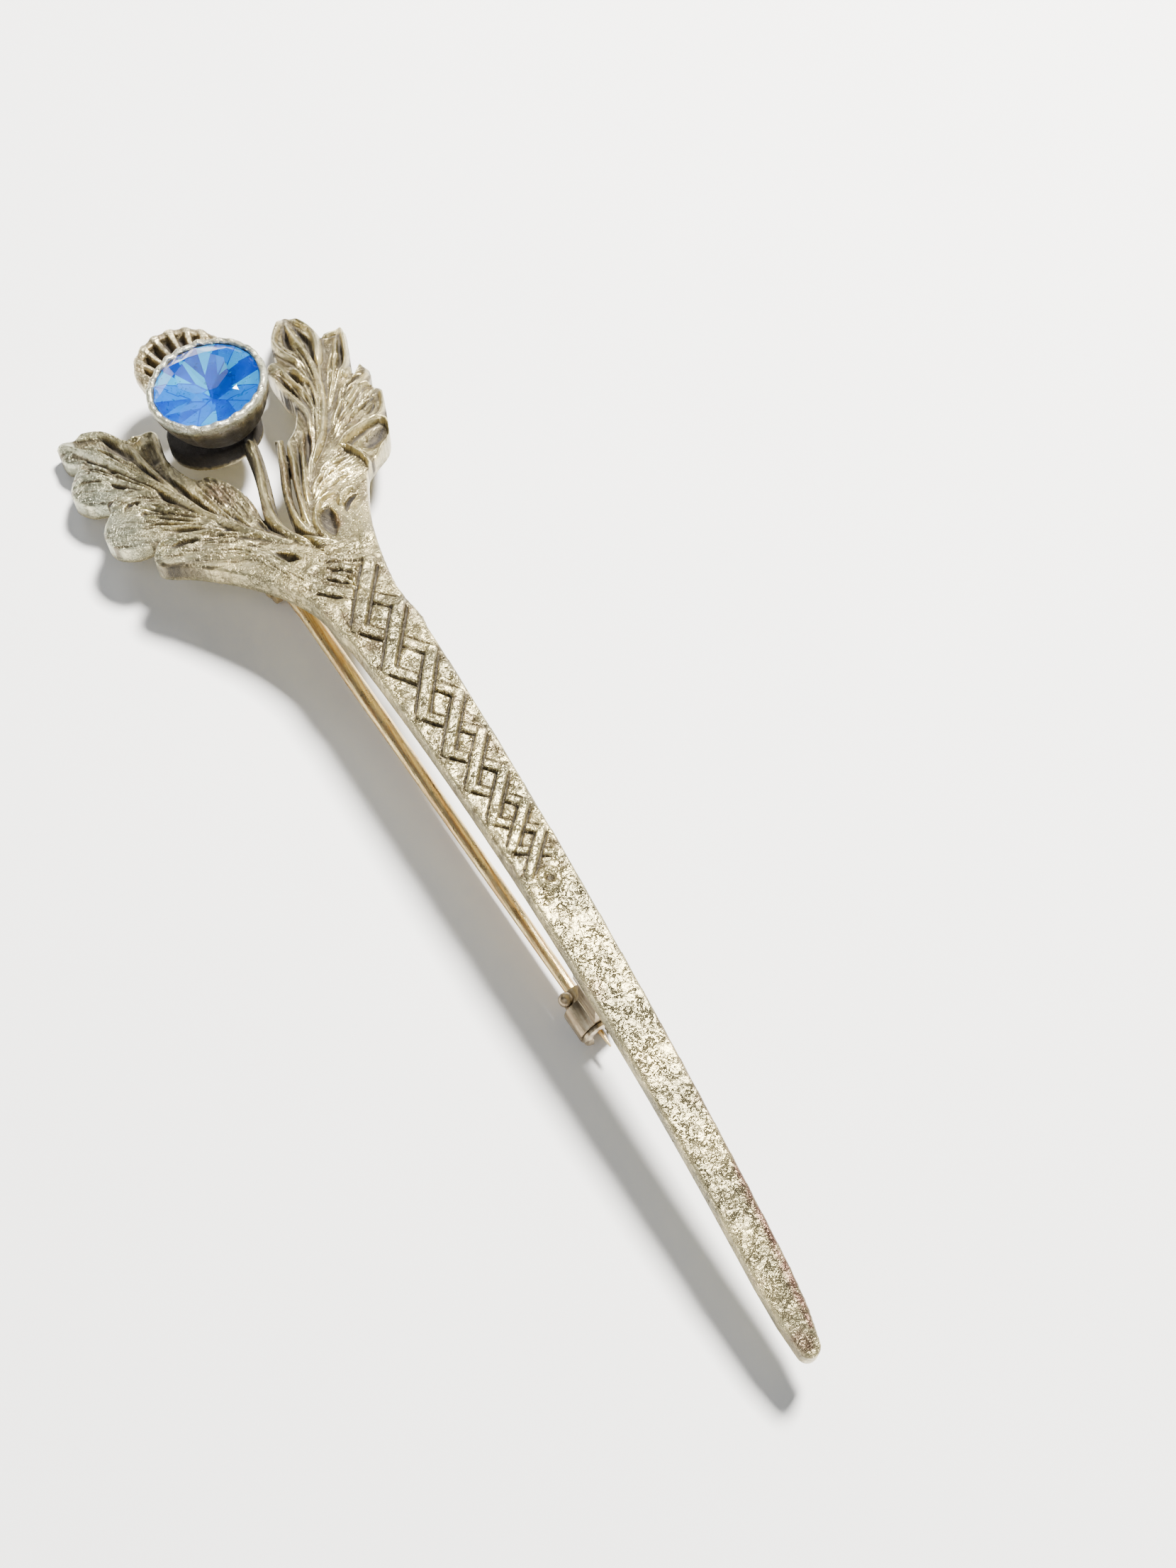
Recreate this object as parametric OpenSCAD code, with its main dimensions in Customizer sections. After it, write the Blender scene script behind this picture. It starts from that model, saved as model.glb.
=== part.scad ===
// Thistle brooch pin: a cast dirk-shaped pin with two thistle leaves, a blue
// stone set in a round cup, and a hinged pin stem with a roll-over catch on its back.
// It lies on its back: +Z comes out of the front and +Y runs along the shaft to the head.

/* [Casting] */
// Length of the tapering shaft, from its blunt tip to where the leaves spread
shaft_length = 44; // [36:1:54]
// Half the shaft's width a few millimetres behind its rounded tip
tip_half_width = 0.85; // [0.6:0.05:1.2]
// How much each side of the shaft narrows over its last few millimetres
tip_narrowing = 0.3; // [0:0.05:0.4]
// Half the shaft's width where it meets the leaves
root_half_width = 2.1; // [1.6:0.1:2.6]
// Sideways bow of the shaft's centre line at its middle
shaft_bow = 0.45; // [0:0.05:0.8]
// Size of the leaf spray, where 1 is as cast
spray_scale = 1; // [0.8:0.05:1.2]
// Thickness of the casting
casting_thickness = 1.3; // [1:0.05:1.6]
// Radius of the long arch from the tip to the leaves
arch_radius = 163; // [140:1:220]
// Radius of the shallow crown across the leaves
crown_radius = 32; // [28:1:45]
// Height of the front face at the top of the arch
arch_height = 6.9; // [6.6:0.1:7.6]
// Height of the raised fretwork above the shaft's face
fret_height = 0.2; // [0.1:0.05:0.35]
// Number of crossings in the fretwork
fret_count = 9; // [5:1:11]

/* [Stone setting] */
// Radius of the stone at its girdle
stone_radius = 3.2; // [2.6:0.1:3.6]
// Height of the stone above its girdle
stone_crown = 0.95; // [0.6:0.05:1.3]
// Depth of the stone below its girdle
stone_depth = 1.55; // [1.2:0.05:1.8]
// Thickness of the stone's edge
girdle = 0.2; // [0.1:0.05:0.3]
// Wall of the cup at its lip
cup_wall = 0.5; // [0.35:0.05:0.7]
// Height of the cup from its foot to the stone's girdle
cup_height = 3; // [2.6:0.1:3.2]
// Thickness of the foil behind the stone
foil = 0.06; // [0.04:0.01:0.1]
// Height of the stone's girdle above the resting surface
stone_height = 7.7; // [7.5:0.1:8.4]
// Lean of the cup to the left, in degrees
cup_lean_x = 5.9; // [0:0.1:8]
// Lean of the cup to the top, in degrees
cup_lean_y = 2.6; // [0:0.1:6]

/* [Tuft] */
// Radius of the fan-shaped tuft
tuft_radius = 2.9; // [2.4:0.1:3.2]
// Thickness of the tuft
tuft_thickness = 1.1; // [0.8:0.1:1.3]
// Number of flutes round the tuft's rim
tuft_flutes = 18; // [12:1:24]

/* [Pin stem] */
// Diameter of the stem's straight part, next to the hinge
stem_diameter = 1.0; // [0.8:0.05:1.1]
// Diameter of the stem where it lies in the catch
stem_catch_diameter = 0.7; // [0.5:0.05:0.8]
// Distance from the rivet to the end of the neck that swells out into the eye
stem_neck = 3; // [2:0.1:4]
// Distance from the rivet to the end of the stem's straight part
stem_straight = 9; // [6:1:12]
// Distance from the hinge rivet to the middle of the catch
hinge_to_catch = 33.1; // [28:0.1:36]
// How far the stem's point passes the middle of the catch
stem_past_catch = 1.9; // [1.6:0.1:2.6]
// Height of the stem's axis above the resting surface
stem_height = 1.25; // [1.15:0.05:1.6]

/* [Hinge] */
// Diameter of the rivet
rivet_diameter = 0.7; // [0.5:0.05:0.8]
// Width of the stem's eye along the rivet
eye_width = 1.2; // [1:0.1:1.4]
// Outer diameter of the stem's eye
eye_diameter = 1.9; // [1.7:0.1:2.1]
// Thickness of the hinge's ears and of both foot plates
plate_thickness = 0.4; // [0.3:0.05:0.5]

/* [Catch] */
// Outer diameter of the catch's housing
housing_diameter = 2.2; // [2.1:0.05:2.3]
// Length of the housing along the stem
housing_length = 1.6; // [1.2:0.1:2]
// Wall of the housing, and of the roller inside it
catch_wall = 0.26; // [0.2:0.02:0.3]
// How far the roller stands out of the housing, towards the hinge
roller_nose = 0.8; // [0.7:0.05:1]
// Diameter of the roller's thumb ball
thumb_ball = 0.8; // [0.6:0.05:0.9]

/* [Clearances] */
// Running clearance of the eye and of the roller, on each side
running_gap = 0.04; // [0.02:0.01:0.08]
// Gap left round the stem in the catch's slot, on each side
slot_gap = 0.08; // [0.06:0.01:0.12]
// Gap between parts that are set in each other with cement
setting_gap = 0.03; // [0.02:0.01:0.05]
// Thickness of the solder under the cup and the foot plates
solder_gap = 0.12; // [0.08:0.01:0.2]
// Depth of the flat seats in the casting's back, measured at their middle
seat_depth = 0.12; // [0.1:0.01:0.2]

/* [Hidden] */
eps = 0.01;
round_fn = 64;
arch_fn = 720;
crown_fn = 360;

// ---- Outlines of the casting, in a plan with the shaft's tip at the origin ----

// Each leaf's outline passes through its lobe tips and the notches between them.
left_leaf_points = [
    [-10.6, 69.3], [-9.4, 68.9], [-7.9, 67.8], [-6.9, 65.9], [-6, 66.1], [-5.1, 65.5], [-5.4, 62.8],
    [-4.8, 60.3], [-3.9, 59.5], [-3.1, 58.2], [-2.6, 56.6], [-2.4, 54], [-1.2, 51], [0, 46], [0, 42],
    [-2, 43.6], [-2.6, 46.6], [-3.6, 48.9], [-5.1, 51.1], [-7.2, 53.5], [-8.8, 55], [-8.9, 56],
    [-8.3, 56.9], [-9.6, 57.4], [-10.6, 58.5], [-10.7, 60], [-9.6, 61.7], [-10.7, 62.8], [-11.3, 64.2],
    [-10.9, 65.5], [-10.1, 66.6], [-10.7, 67.7]];
right_leaf_points = [
    [2.1, 42.5], [1.9, 45.9], [2.7, 50.6], [4.2, 54.7], [5.1, 55.8], [6.6, 57.1], [7.4, 58.7], [8.4, 61.7],
    [8.6, 62.5], [8, 63], [8.7, 64.2], [8.6, 65.2], [7.6, 64.6], [8.3, 66.6], [9.2, 69.8], [7.5, 69.3],
    [7.1, 70.8], [6.3, 72.5], [5.3, 71.5], [4.2, 69.5], [3.7, 67.6], [2.9, 67], [2.8, 64], [3, 62.6],
    [2.2, 60.8], [1.2, 59.6], [0.5, 57.6], [-0.2, 54.8], [-0.7, 52], [0, 46], [0, 42]];
main_stalk_points = [[-0.5, 62.5], [-0.9, 59.4], [-1.5, 56.6], [-2, 54.6], [-2.1, 53.1], [-1.5, 51.3], [0, 48]];
side_stalk_points = [[0.9, 60.2], [0.3, 58.1], [-0.4, 56], [-0.8, 54.1], [-0.9, 52.6], [-0.4, 50.5]];
main_stalk_width = 0.8;
side_stalk_width = 0.5;
spray_origin = [0, 44];
pad_centre = [-1.9, 63.9];
pad_radius = 3.2;
boss_radius = 2;
smooth_steps = 4;

// A point on the curve through four neighbours, t of the way from b to c.
function curve_point(a, b, c, d, t) =
    0.5 * (2 * b + (c - a) * t + (2 * a - 5 * b + 4 * c - d) * t * t + (3 * b - 3 * c + d - a) * t * t * t);
// A closed outline rounded through its points.
function rounded(p) = let (n = len(p))
    [for (i = [0:n - 1], k = [0:smooth_steps - 1])
        curve_point(p[(i + n - 1) % n], p[i], p[(i + 1) % n], p[(i + 2) % n], k / smooth_steps)];
// An open centre line rounded through its points.
function rounded_line(p) = let (n = len(p))
    concat([for (i = [0:n - 2], k = [0:smooth_steps - 1])
        curve_point(p[max(i - 1, 0)], p[i], p[i + 1], p[min(i + 2, n - 1)], k / smooth_steps)], [p[n - 1]]);
function unit(v) = v / norm(v);
function side_step(p, i) = let (d = unit(p[min(i + 1, len(p) - 1)] - p[max(i - 1, 0)])) [-d[1], d[0]];
// A strip of even width along a centre line.
function strip(p, width) = let (last = len(p) - 1)
    concat([for (i = [0:last]) p[i] + side_step(p, i) * width / 2],
           [for (i = [last:-1:0]) p[i] - side_step(p, i) * width / 2]);
// The spray grows about the top of the shaft, and follows it when the shaft's length changes.
function placed(p) = [for (q = p) [0, shaft_length] + (q - spray_origin) * spray_scale];
function place(q) = placed([q])[0];

left_leaf = rounded(placed(left_leaf_points));
right_leaf = rounded(placed(right_leaf_points));
main_stalk = strip(rounded_line(placed(main_stalk_points)), main_stalk_width * spray_scale);
side_stalk = strip(rounded_line(placed(side_stalk_points)), side_stalk_width * spray_scale);
pad = place(pad_centre);

// Half width and centre line of the shaft, u of the way from its tip to its root.
tip_stretch = 4.5;
function narrowing(u) = tip_narrowing * pow(1 - min(u * shaft_length / tip_stretch, 1), 2);
function shaft_half(u) =
    tip_half_width + (root_half_width - tip_half_width) * (0.35 * u + 0.65 * u * u) - narrowing(u);
function shaft_centre(u) = shaft_bow * (1 - pow(2 * u - 1, 2));
shaft_steps = 22;
shaft_outline = let (e = tip_half_width - tip_narrowing) concat(
    [for (a = [-90:15:0]) [shaft_centre(0) + e * cos(a), e + e * sin(a)]],
    [for (i = [1:shaft_steps]) let (u = i / shaft_steps) [shaft_centre(u) + shaft_half(u), u * shaft_length]],
    [for (i = [shaft_steps:-1:1]) let (u = i / shaft_steps) [shaft_centre(u) - shaft_half(u), u * shaft_length]],
    [for (a = [180:15:255]) [shaft_centre(0) + e * cos(a), e + e * sin(a)]]);

// The part stands on the middle of its bounding box.
middle_x = (min([for (q = left_leaf) q[0]]) + max([for (q = right_leaf) q[0]])) / 2;
middle_y = max([for (q = right_leaf) q[1]]) / 2;

// ---- Curved faces ----

arch_y = 0.75 * shaft_length;
crown_x = -0.7;
// Height of the casting's front face, and of its back, at a place in plan.
function front_z(q) = arch_height - (arch_radius - sqrt(pow(arch_radius, 2) - pow(q[1] - arch_y, 2)))
    - (crown_radius - sqrt(pow(crown_radius, 2) - pow(q[0] - crown_x, 2)));
function back_z(q) = front_z(q) - casting_thickness;
// Slope of the arch along Y at a place in plan, in degrees.
function arch_slope(q) = -asin((q[1] - arch_y) / arch_radius);

// ---- Places of the findings on the back ----

hinge_at = place([-2.55, 53]);
catch_place = place([-0.35, 20]);
stem_yaw = 3.8;
catch_at = hinge_at + hinge_to_catch * [sin(stem_yaw), -cos(stem_yaw)];
housing_radius = housing_diameter / 2;
roller_radius = housing_radius - catch_wall - running_gap;
slot_width = stem_catch_diameter + 2 * slot_gap;
mouth_width = slot_width + 4 * slot_gap;
ear_gap = eye_width + 2 * running_gap;
bracket_width = ear_gap + 2 * plate_thickness;
bracket_length = 3.8;
rivet_head = 1.1;
rivet_head_height = 0.25;
hinge_plate_z = back_z(hinge_at) + seat_depth - solder_gap - stem_height;
catch_foot = [2, 2.6];
catch_foot_shift = 0.6;
catch_plate_z = back_z(catch_at) + seat_depth - solder_gap - stem_height;
neck_width = 0.5;
// The roller's flared end keeps it in the housing; its ball leans to the left of straight up.
roller_flare = 0.2;
thumb_angle = 45;
thumb_rise = 0.15;
seat_margin = 0.05;
seat_reach = 0.5;

// ---- The stone's cup ----

cup_base = [-1.75, 63.4];
cup_at = place(cup_base);
lip_height = 0.22;
lip_rise = 0.12;
cup_foot_radius = 2;
well_radius = 1.6;
well_floor = 2.15;
// Height below the girdle at which the setting's cone narrows to the well.
function cone_drop(r, extra) = girdle + extra + (stone_radius - r) * stone_depth / stone_radius;

module in_frame() {
    translate([-middle_x, -middle_y, 0]) children();
}

// Solid under a face of the dished arch, sunk below the front face by depth.
module arch_solid(depth, height = 30) {
    translate([crown_x, arch_y, arch_height - arch_radius])
        rotate([0, 90, 0])
            rotate([0, 0, 180 - 25])
                rotate_extrude(angle = 50, $fn = arch_fn)
                    intersection() {
                        translate([arch_radius - crown_radius, 0]) circle(crown_radius - depth, $fn = crown_fn);
                        translate([arch_radius - height, -16]) square([height, 32]);
                    }
}

module along_cup() {
    translate([cup_at[0], cup_at[1], stone_height])
        rotate([-cup_lean_y, -cup_lean_x, 0]) children();
}

module on_stem() {
    translate([hinge_at[0], hinge_at[1], stem_height]) rotate([0, 0, stem_yaw]) children();
}

module at_catch() {
    on_stem() translate([0, -hinge_to_catch, 0]) children();
}

// The foot plates follow the slope of the casting's back along the stem.
module tilt_to_back(q) {
    rotate([arch_slope(q), 0, 0]) children();
}

module spray_plan() {
    polygon(shaft_outline);
    polygon(left_leaf);
    polygon(right_leaf);
    polygon(main_stalk);
    polygon(side_stalk);
    translate(pad) circle(pad_radius * spray_scale, $fn = round_fn);
}

// The solder on a foot plate: a block on the plate's top face. The seat that is cut for it in
// the casting starts lower down by below, and is wider by margin on each side.
module hinge_footprint(below = 0, margin = 0) {
    on_stem() tilt_to_back(hinge_at)
        translate([-bracket_width / 2 - margin, -bracket_length / 2 - margin, hinge_plate_z - below])
            cube([bracket_width + 2 * margin, bracket_length + 2 * margin, solder_gap + below]);
}

module catch_footprint(below = 0, margin = 0) {
    at_catch() tilt_to_back(catch_at)
        translate([catch_foot_shift - catch_foot[0] / 2 - margin, -catch_foot[1] / 2 - margin,
                   catch_plate_z - below])
            cube([catch_foot[0] + 2 * margin, catch_foot[1] + 2 * margin, solder_gap + below]);
}

// One crossing of the fretwork: a long bar down the shaft and a short one across it.
module fret_crossing(width) {
    rotate(27) square([0.2 * width, 1.45 * width], center = true);
    rotate(-53) square([0.2 * width, 0.95 * width], center = true);
}

module fret_plan() {
    first = shaft_length - 1.5;
    for (i = [0:fret_count - 1]) {
        y = first - 3.4 * (1 - pow(0.905, i)) / (1 - 0.905);
        u = y / shaft_length;
        translate([shaft_centre(u), y]) fret_crossing(1.35 * shaft_half(u));
    }
}

module leaf_and_shaft_casting() {
    color([0.78, 0.75, 0.66]) in_frame() {
        difference() {
            intersection() {
                linear_extrude(arch_height + fret_height) spray_plan();
                arch_solid(0);
            }
            arch_solid(casting_thickness, 34);
            hinge_footprint(seat_reach, seat_margin);
            catch_footprint(seat_reach, seat_margin);
        }
        intersection() {
            linear_extrude(arch_height + fret_height + eps) fret_plan();
            difference() {
                arch_solid(-fret_height);
                arch_solid(casting_thickness / 2, 34);
            }
        }
        difference() {
            along_cup() translate([0, 0, -cup_height - solder_gap - 1.2])
                cylinder(r = boss_radius, h = 1.2, $fn = round_fn);
            arch_solid(casting_thickness / 2, 34);
        }
    }
}

module cup_outside(gap = 0) {
    rotate_extrude($fn = round_fn) polygon([
        [0, -cup_height - gap], [cup_foot_radius + gap, -cup_height - gap],
        [stone_radius - 0.4 + gap, -cup_height + 0.6 - gap],
        [stone_radius + cup_wall - 0.15 + gap, -1.3], [stone_radius + cup_wall + gap, -0.5],
        [stone_radius + cup_wall + gap, lip_height], [stone_radius + cup_wall - 0.2 + gap, lip_height + lip_rise + gap],
        [0, lip_height + lip_rise + gap]]);
}

module thistle_cup() {
    seat = stone_radius + setting_gap;
    color([0.62, 0.6, 0.55]) in_frame() along_cup() difference() {
        cup_outside();
        translate([0, 0, -girdle - foil]) cylinder(r = seat, h = 2, $fn = round_fn);
        translate([0, 0, -well_floor]) cylinder(r = well_radius, h = well_floor, $fn = round_fn);
        rotate_extrude($fn = round_fn) polygon([
            [0, -cone_drop(0, 2 * foil)], [seat, -cone_drop(seat, 2 * foil)], [seat, 0], [0, 0]]);
    }
}

module cup_solder() {
    color([0.55, 0.54, 0.5]) in_frame() along_cup() translate([0, 0, -cup_height - solder_gap])
        cylinder(r = boss_radius, h = solder_gap, $fn = round_fn);
}

module thistle_tuft() {
    at = place([-1.9, 68.3]);
    foot = place([-1.9, 66.2]);
    top = 5.5;
    rim = [for (i = [0:tuft_flutes * 6 - 1]) let (a = 360 * i / (tuft_flutes * 6))
        (tuft_radius + 0.08 * cos(a * tuft_flutes)) * [cos(a), sin(a)]];
    color([0.75, 0.71, 0.62]) in_frame() difference() {
        union() {
            translate([at[0], at[1], top - tuft_thickness]) linear_extrude(tuft_thickness) polygon(rim);
            translate([foot[0] - 1.1, foot[1] - 0.35, 2.5]) cube([2.2, 0.8, top - 2.5 - tuft_thickness / 2]);
        }
        along_cup() cup_outside(0.1);
        arch_solid(0, 34);
    }
}

module blue_stone() {
    color([0.1, 0.5, 0.95]) in_frame() along_cup() {
        translate([0, 0, -girdle]) cylinder(r = stone_radius, h = girdle, $fn = round_fn);
        cylinder(r1 = stone_radius, r2 = 0.55 * stone_radius, h = stone_crown, $fn = round_fn);
        translate([0, 0, -girdle - stone_depth]) cylinder(r1 = 0, r2 = stone_radius, h = stone_depth, $fn = round_fn);
    }
}

module stone_foil() {
    color([0.75, 0.78, 0.8]) in_frame() along_cup() rotate_extrude($fn = round_fn) polygon([
        [0, -cone_drop(0, 0)], [stone_radius, -cone_drop(stone_radius, 0)],
        [stone_radius, -cone_drop(stone_radius, foil)], [0, -cone_drop(0, foil)]]);
}

module stone_cement() {
    r = well_radius - setting_gap;
    color([0.8, 0.76, 0.6]) in_frame() along_cup() rotate_extrude($fn = round_fn) polygon([
        [0, -well_floor], [r, -well_floor], [r, -cone_drop(r, foil)], [0, -cone_drop(0, foil)]]);
}

module hinge_bracket() {
    ear_radius = eye_diameter / 2 + 0.1;
    plate_drop = hinge_plate_z - plate_thickness;
    color([0.8, 0.68, 0.4]) in_frame() on_stem() difference() {
        union() {
            tilt_to_back(hinge_at) translate([-bracket_width / 2, -bracket_length / 2, plate_drop])
                cube([bracket_width, bracket_length, plate_thickness]);
            for (side = [-1, 1]) {
                translate([side * (ear_gap + plate_thickness) / 2, 0, 0]) rotate([0, 90, 0])
                    cylinder(r = ear_radius, h = plate_thickness, center = true, $fn = round_fn);
                translate([side * (ear_gap + plate_thickness) / 2 - plate_thickness / 2, -ear_radius, 0])
                    cube([plate_thickness, 2 * ear_radius, plate_drop + plate_thickness / 2]);
            }
        }
        rotate([0, 90, 0])
            cylinder(d = rivet_diameter, h = bracket_width + 1, center = true, $fn = round_fn);
    }
}

module hinge_solder() {
    color([0.6, 0.58, 0.54]) in_frame() hinge_footprint();
}

module hinge_rivet() {
    color([0.7, 0.66, 0.55]) in_frame() on_stem() rotate([0, 90, 0]) {
        cylinder(d = rivet_diameter, h = bracket_width + 2 * eps, center = true, $fn = round_fn);
        for (side = [-1, 1])
            translate([0, 0, side * (bracket_width + rivet_head_height) / 2])
                cylinder(d = rivet_head, h = rivet_head_height, center = true, $fn = round_fn);
    }
}

module pin_stem() {
    taper_start = stem_straight;
    taper_end = hinge_to_catch - housing_length;
    point = hinge_to_catch + stem_past_catch;
    neck_start = eye_diameter / 2 - 0.25;
    color([0.86, 0.72, 0.42]) in_frame() on_stem() difference() {
        union() {
            rotate([0, 90, 0]) cylinder(d = eye_diameter, h = eye_width, center = true, $fn = round_fn);
            rotate([90, 0, 0]) {
                translate([0, 0, neck_start])
                    cylinder(d1 = eye_width, d2 = stem_diameter, h = stem_neck - neck_start, $fn = round_fn);
                translate([0, 0, stem_neck])
                    cylinder(d = stem_diameter, h = taper_start - stem_neck, $fn = round_fn);
                translate([0, 0, taper_start])
                    cylinder(d1 = stem_diameter, d2 = stem_catch_diameter, h = taper_end - taper_start, $fn = round_fn);
                translate([0, 0, taper_end])
                    cylinder(d1 = stem_catch_diameter, d2 = 0.1, h = point - taper_end, $fn = round_fn);
            }
        }
        rotate([0, 90, 0])
            cylinder(d = rivet_diameter + 2 * running_gap, h = eye_width + 1, center = true, $fn = round_fn);
    }
}

module catch_housing() {
    inner = housing_radius - catch_wall;
    color([0.72, 0.68, 0.58]) in_frame() at_catch() {
        difference() {
            union() {
                rotate([90, 0, 0])
                    cylinder(r = housing_radius, h = housing_length, center = true, $fn = round_fn);
                translate([-neck_width / 2, -housing_length / 2, inner + catch_wall / 2])
                    cube([neck_width, housing_length, catch_plate_z - plate_thickness / 2 - inner - catch_wall / 2]);
            }
            rotate([90, 0, 0]) cylinder(r = inner, h = housing_length + 1, center = true, $fn = round_fn);
            translate([-mouth_width / 2, -housing_length, -2 * housing_radius])
                cube([mouth_width, 2 * housing_length, 2 * housing_radius]);
        }
        tilt_to_back(catch_at)
            translate([catch_foot_shift - catch_foot[0] / 2, -catch_foot[1] / 2, catch_plate_z - plate_thickness])
                cube([catch_foot[0], catch_foot[1], plate_thickness]);
    }
}

module catch_solder() {
    color([0.6, 0.58, 0.54]) in_frame() catch_footprint();
}

module catch_roller() {
    tail = running_gap + roller_flare;
    length = housing_length + roller_nose + tail;
    bore = roller_radius - catch_wall;
    nose_y = housing_length / 2 + roller_nose;
    color([0.78, 0.74, 0.64]) in_frame() at_catch() {
        difference() {
            translate([0, nose_y, 0]) rotate([90, 0, 0]) {
                cylinder(r = roller_radius, h = length, $fn = round_fn);
                translate([0, 0, length - roller_flare])
                    cylinder(r = housing_radius - 0.1, h = roller_flare, $fn = round_fn);
            }
            rotate([90, 0, 0]) cylinder(r = bore, h = 4 * length, center = true, $fn = round_fn);
            translate([-slot_width / 2, -2 * length, -2 * roller_radius])
                cube([slot_width, 4 * length, 2 * roller_radius]);
        }
        difference() {
            translate([0, housing_length / 2 + running_gap + thumb_ball / 2, 0]) rotate([0, -thumb_angle, 0])
                translate([0, 0, roller_radius + thumb_rise]) sphere(d = thumb_ball, $fn = round_fn);
            rotate([90, 0, 0]) cylinder(r = bore, h = 4 * length, center = true, $fn = round_fn);
        }
    }
}

leaf_and_shaft_casting();
thistle_cup();
cup_solder();
thistle_tuft();
blue_stone();
stone_foil();
stone_cement();
hinge_bracket();
hinge_solder();
hinge_rivet();
pin_stem();
catch_housing();
catch_solder();
catch_roller();
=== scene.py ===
"""Finished look of a thistle brooch pin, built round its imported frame.

The casting, the tuft, the cup and the stone are modelled here in full; the hinge, the stem and the
catch keep the frame's shapes with their edges broken. Plan sizes are millimetres with the tip of the
shaft at the origin, +Y along the shaft to the head and +X to the right, and metres in the frame.
"""

import logging
import math
from collections.abc import Callable, Sequence
from dataclasses import dataclass, field
from enum import Enum

import bmesh
import bpy
import numpy as np
from mathutils import Matrix, Vector


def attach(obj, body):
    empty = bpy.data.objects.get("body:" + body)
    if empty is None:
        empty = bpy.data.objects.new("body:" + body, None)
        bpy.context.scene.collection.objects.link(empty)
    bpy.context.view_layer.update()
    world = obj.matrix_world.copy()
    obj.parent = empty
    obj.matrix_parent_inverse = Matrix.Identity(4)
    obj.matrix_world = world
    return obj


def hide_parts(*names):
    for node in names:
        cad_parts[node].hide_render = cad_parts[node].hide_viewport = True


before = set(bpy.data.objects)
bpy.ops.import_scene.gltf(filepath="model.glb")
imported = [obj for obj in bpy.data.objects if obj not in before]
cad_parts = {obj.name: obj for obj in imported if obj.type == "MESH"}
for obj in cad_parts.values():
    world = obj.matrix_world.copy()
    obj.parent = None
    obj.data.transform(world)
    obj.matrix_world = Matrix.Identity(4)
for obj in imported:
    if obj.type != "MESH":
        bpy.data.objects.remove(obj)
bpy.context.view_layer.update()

MM = 0.001
SEED = 41
LOG = logging.getLogger("brooch")

Point = tuple[float, float]
Triple = tuple[float, float, float]
Colour = Triple
Line = Sequence[Point]
Array = np.ndarray
Surface = Callable[[Array, Array], Array]


# ---- Lines and distances in plan ----


def through(points: Line, closed: bool = False, steps: int = 4) -> Array:
    """Runs a smooth curve through a few points.

    Args:
        points: The places that the curve passes, in order.
        closed: Whether the curve returns to its first point.
        steps: Stretches between two neighbouring points.

    Returns:
        The points along the curve, one row each.
    """
    p = np.asarray(points, float)
    if closed:
        a, b, c, d = np.roll(p, 1, 0), p, np.roll(p, -1, 0), np.roll(p, -2, 0)
    else:
        a, b, c = np.vstack([p[:1], p[:-2]]), p[:-1], p[1:]
        d = np.vstack([p[2:], p[-1:]])
    rows = []
    for t in np.arange(steps) / steps:
        square = (2 * a - 5 * b + 4 * c - d) * t * t
        cube = (3 * b - 3 * c + d - a) * t**3
        rows.append(0.5 * (2 * b + (c - a) * t + square + cube))
    out = np.stack(rows, 1).reshape(-1, p.shape[1])
    return out if closed else np.vstack([out, p[-1:]])


def strip(line: Array, width: float) -> Array:
    """Outlines a strip of even width along a centre line.

    Args:
        line: The centre line.
        width: The strip's width.

    Returns:
        The closed outline.
    """
    along = np.gradient(line, axis=0)
    along /= np.linalg.norm(along, axis=1, keepdims=True)
    side = np.stack([-along[:, 1], along[:, 0]], 1) * width / 2
    return np.vstack([line + side, (line - side)[::-1]])


def away_from(x: Array, y: Array, line: Array) -> tuple[Array, Array]:
    """Measures how far places in plan lie from a line.

    Args:
        x: X of the places.
        y: Y of the places.
        line: The line's points, in order.

    Returns:
        The distance of each place, and how far along the line its nearest point is, from 0 to 1.
    """
    steps = np.linalg.norm(np.diff(line, axis=0), axis=1)
    reached = np.concatenate([[0.0], np.cumsum(steps)])
    best = np.full(x.shape, 1e9)
    along = np.zeros(x.shape)
    for i, length in enumerate(steps):
        (ax, ay), (bx, by) = line[i], line[i + 1]
        ex, ey = bx - ax, by - ay
        t = np.clip(((x - ax) * ex + (y - ay) * ey) / max(length * length, 1e-12), 0, 1)
        gap = np.hypot(x - ax - t * ex, y - ay - t * ey)
        closer = gap < best
        best = np.where(closer, gap, best)
        along = np.where(closer, (reached[i] + t * length) / reached[-1], along)
    return best, along


def inside_by(x: Array, y: Array, outline: Array) -> Array:
    """Measures places against a closed outline.

    Args:
        x: X of the places.
        y: Y of the places.
        outline: The outline's points.

    Returns:
        The distance to the outline, below zero inside it.
    """
    closed = np.vstack([outline, outline[:1]])
    gap, _ = away_from(x, y, closed)
    odd = np.zeros(x.shape, bool)
    for (ax, ay), (bx, by) in zip(closed[:-1], closed[1:]):
        if ay != by:
            crosses = (ay > y) != (by > y)
            odd ^= crosses & (x < (bx - ax) * (y - ay) / (by - ay) + ax)
    return np.where(odd, -gap, gap)


def smooth_step(low: float, high: float, value: Array) -> Array:
    """Rises smoothly from 0 at low to 1 at high."""
    t = np.clip((value - low) / (high - low), 0, 1)
    return t * t * (3 - 2 * t)


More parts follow.
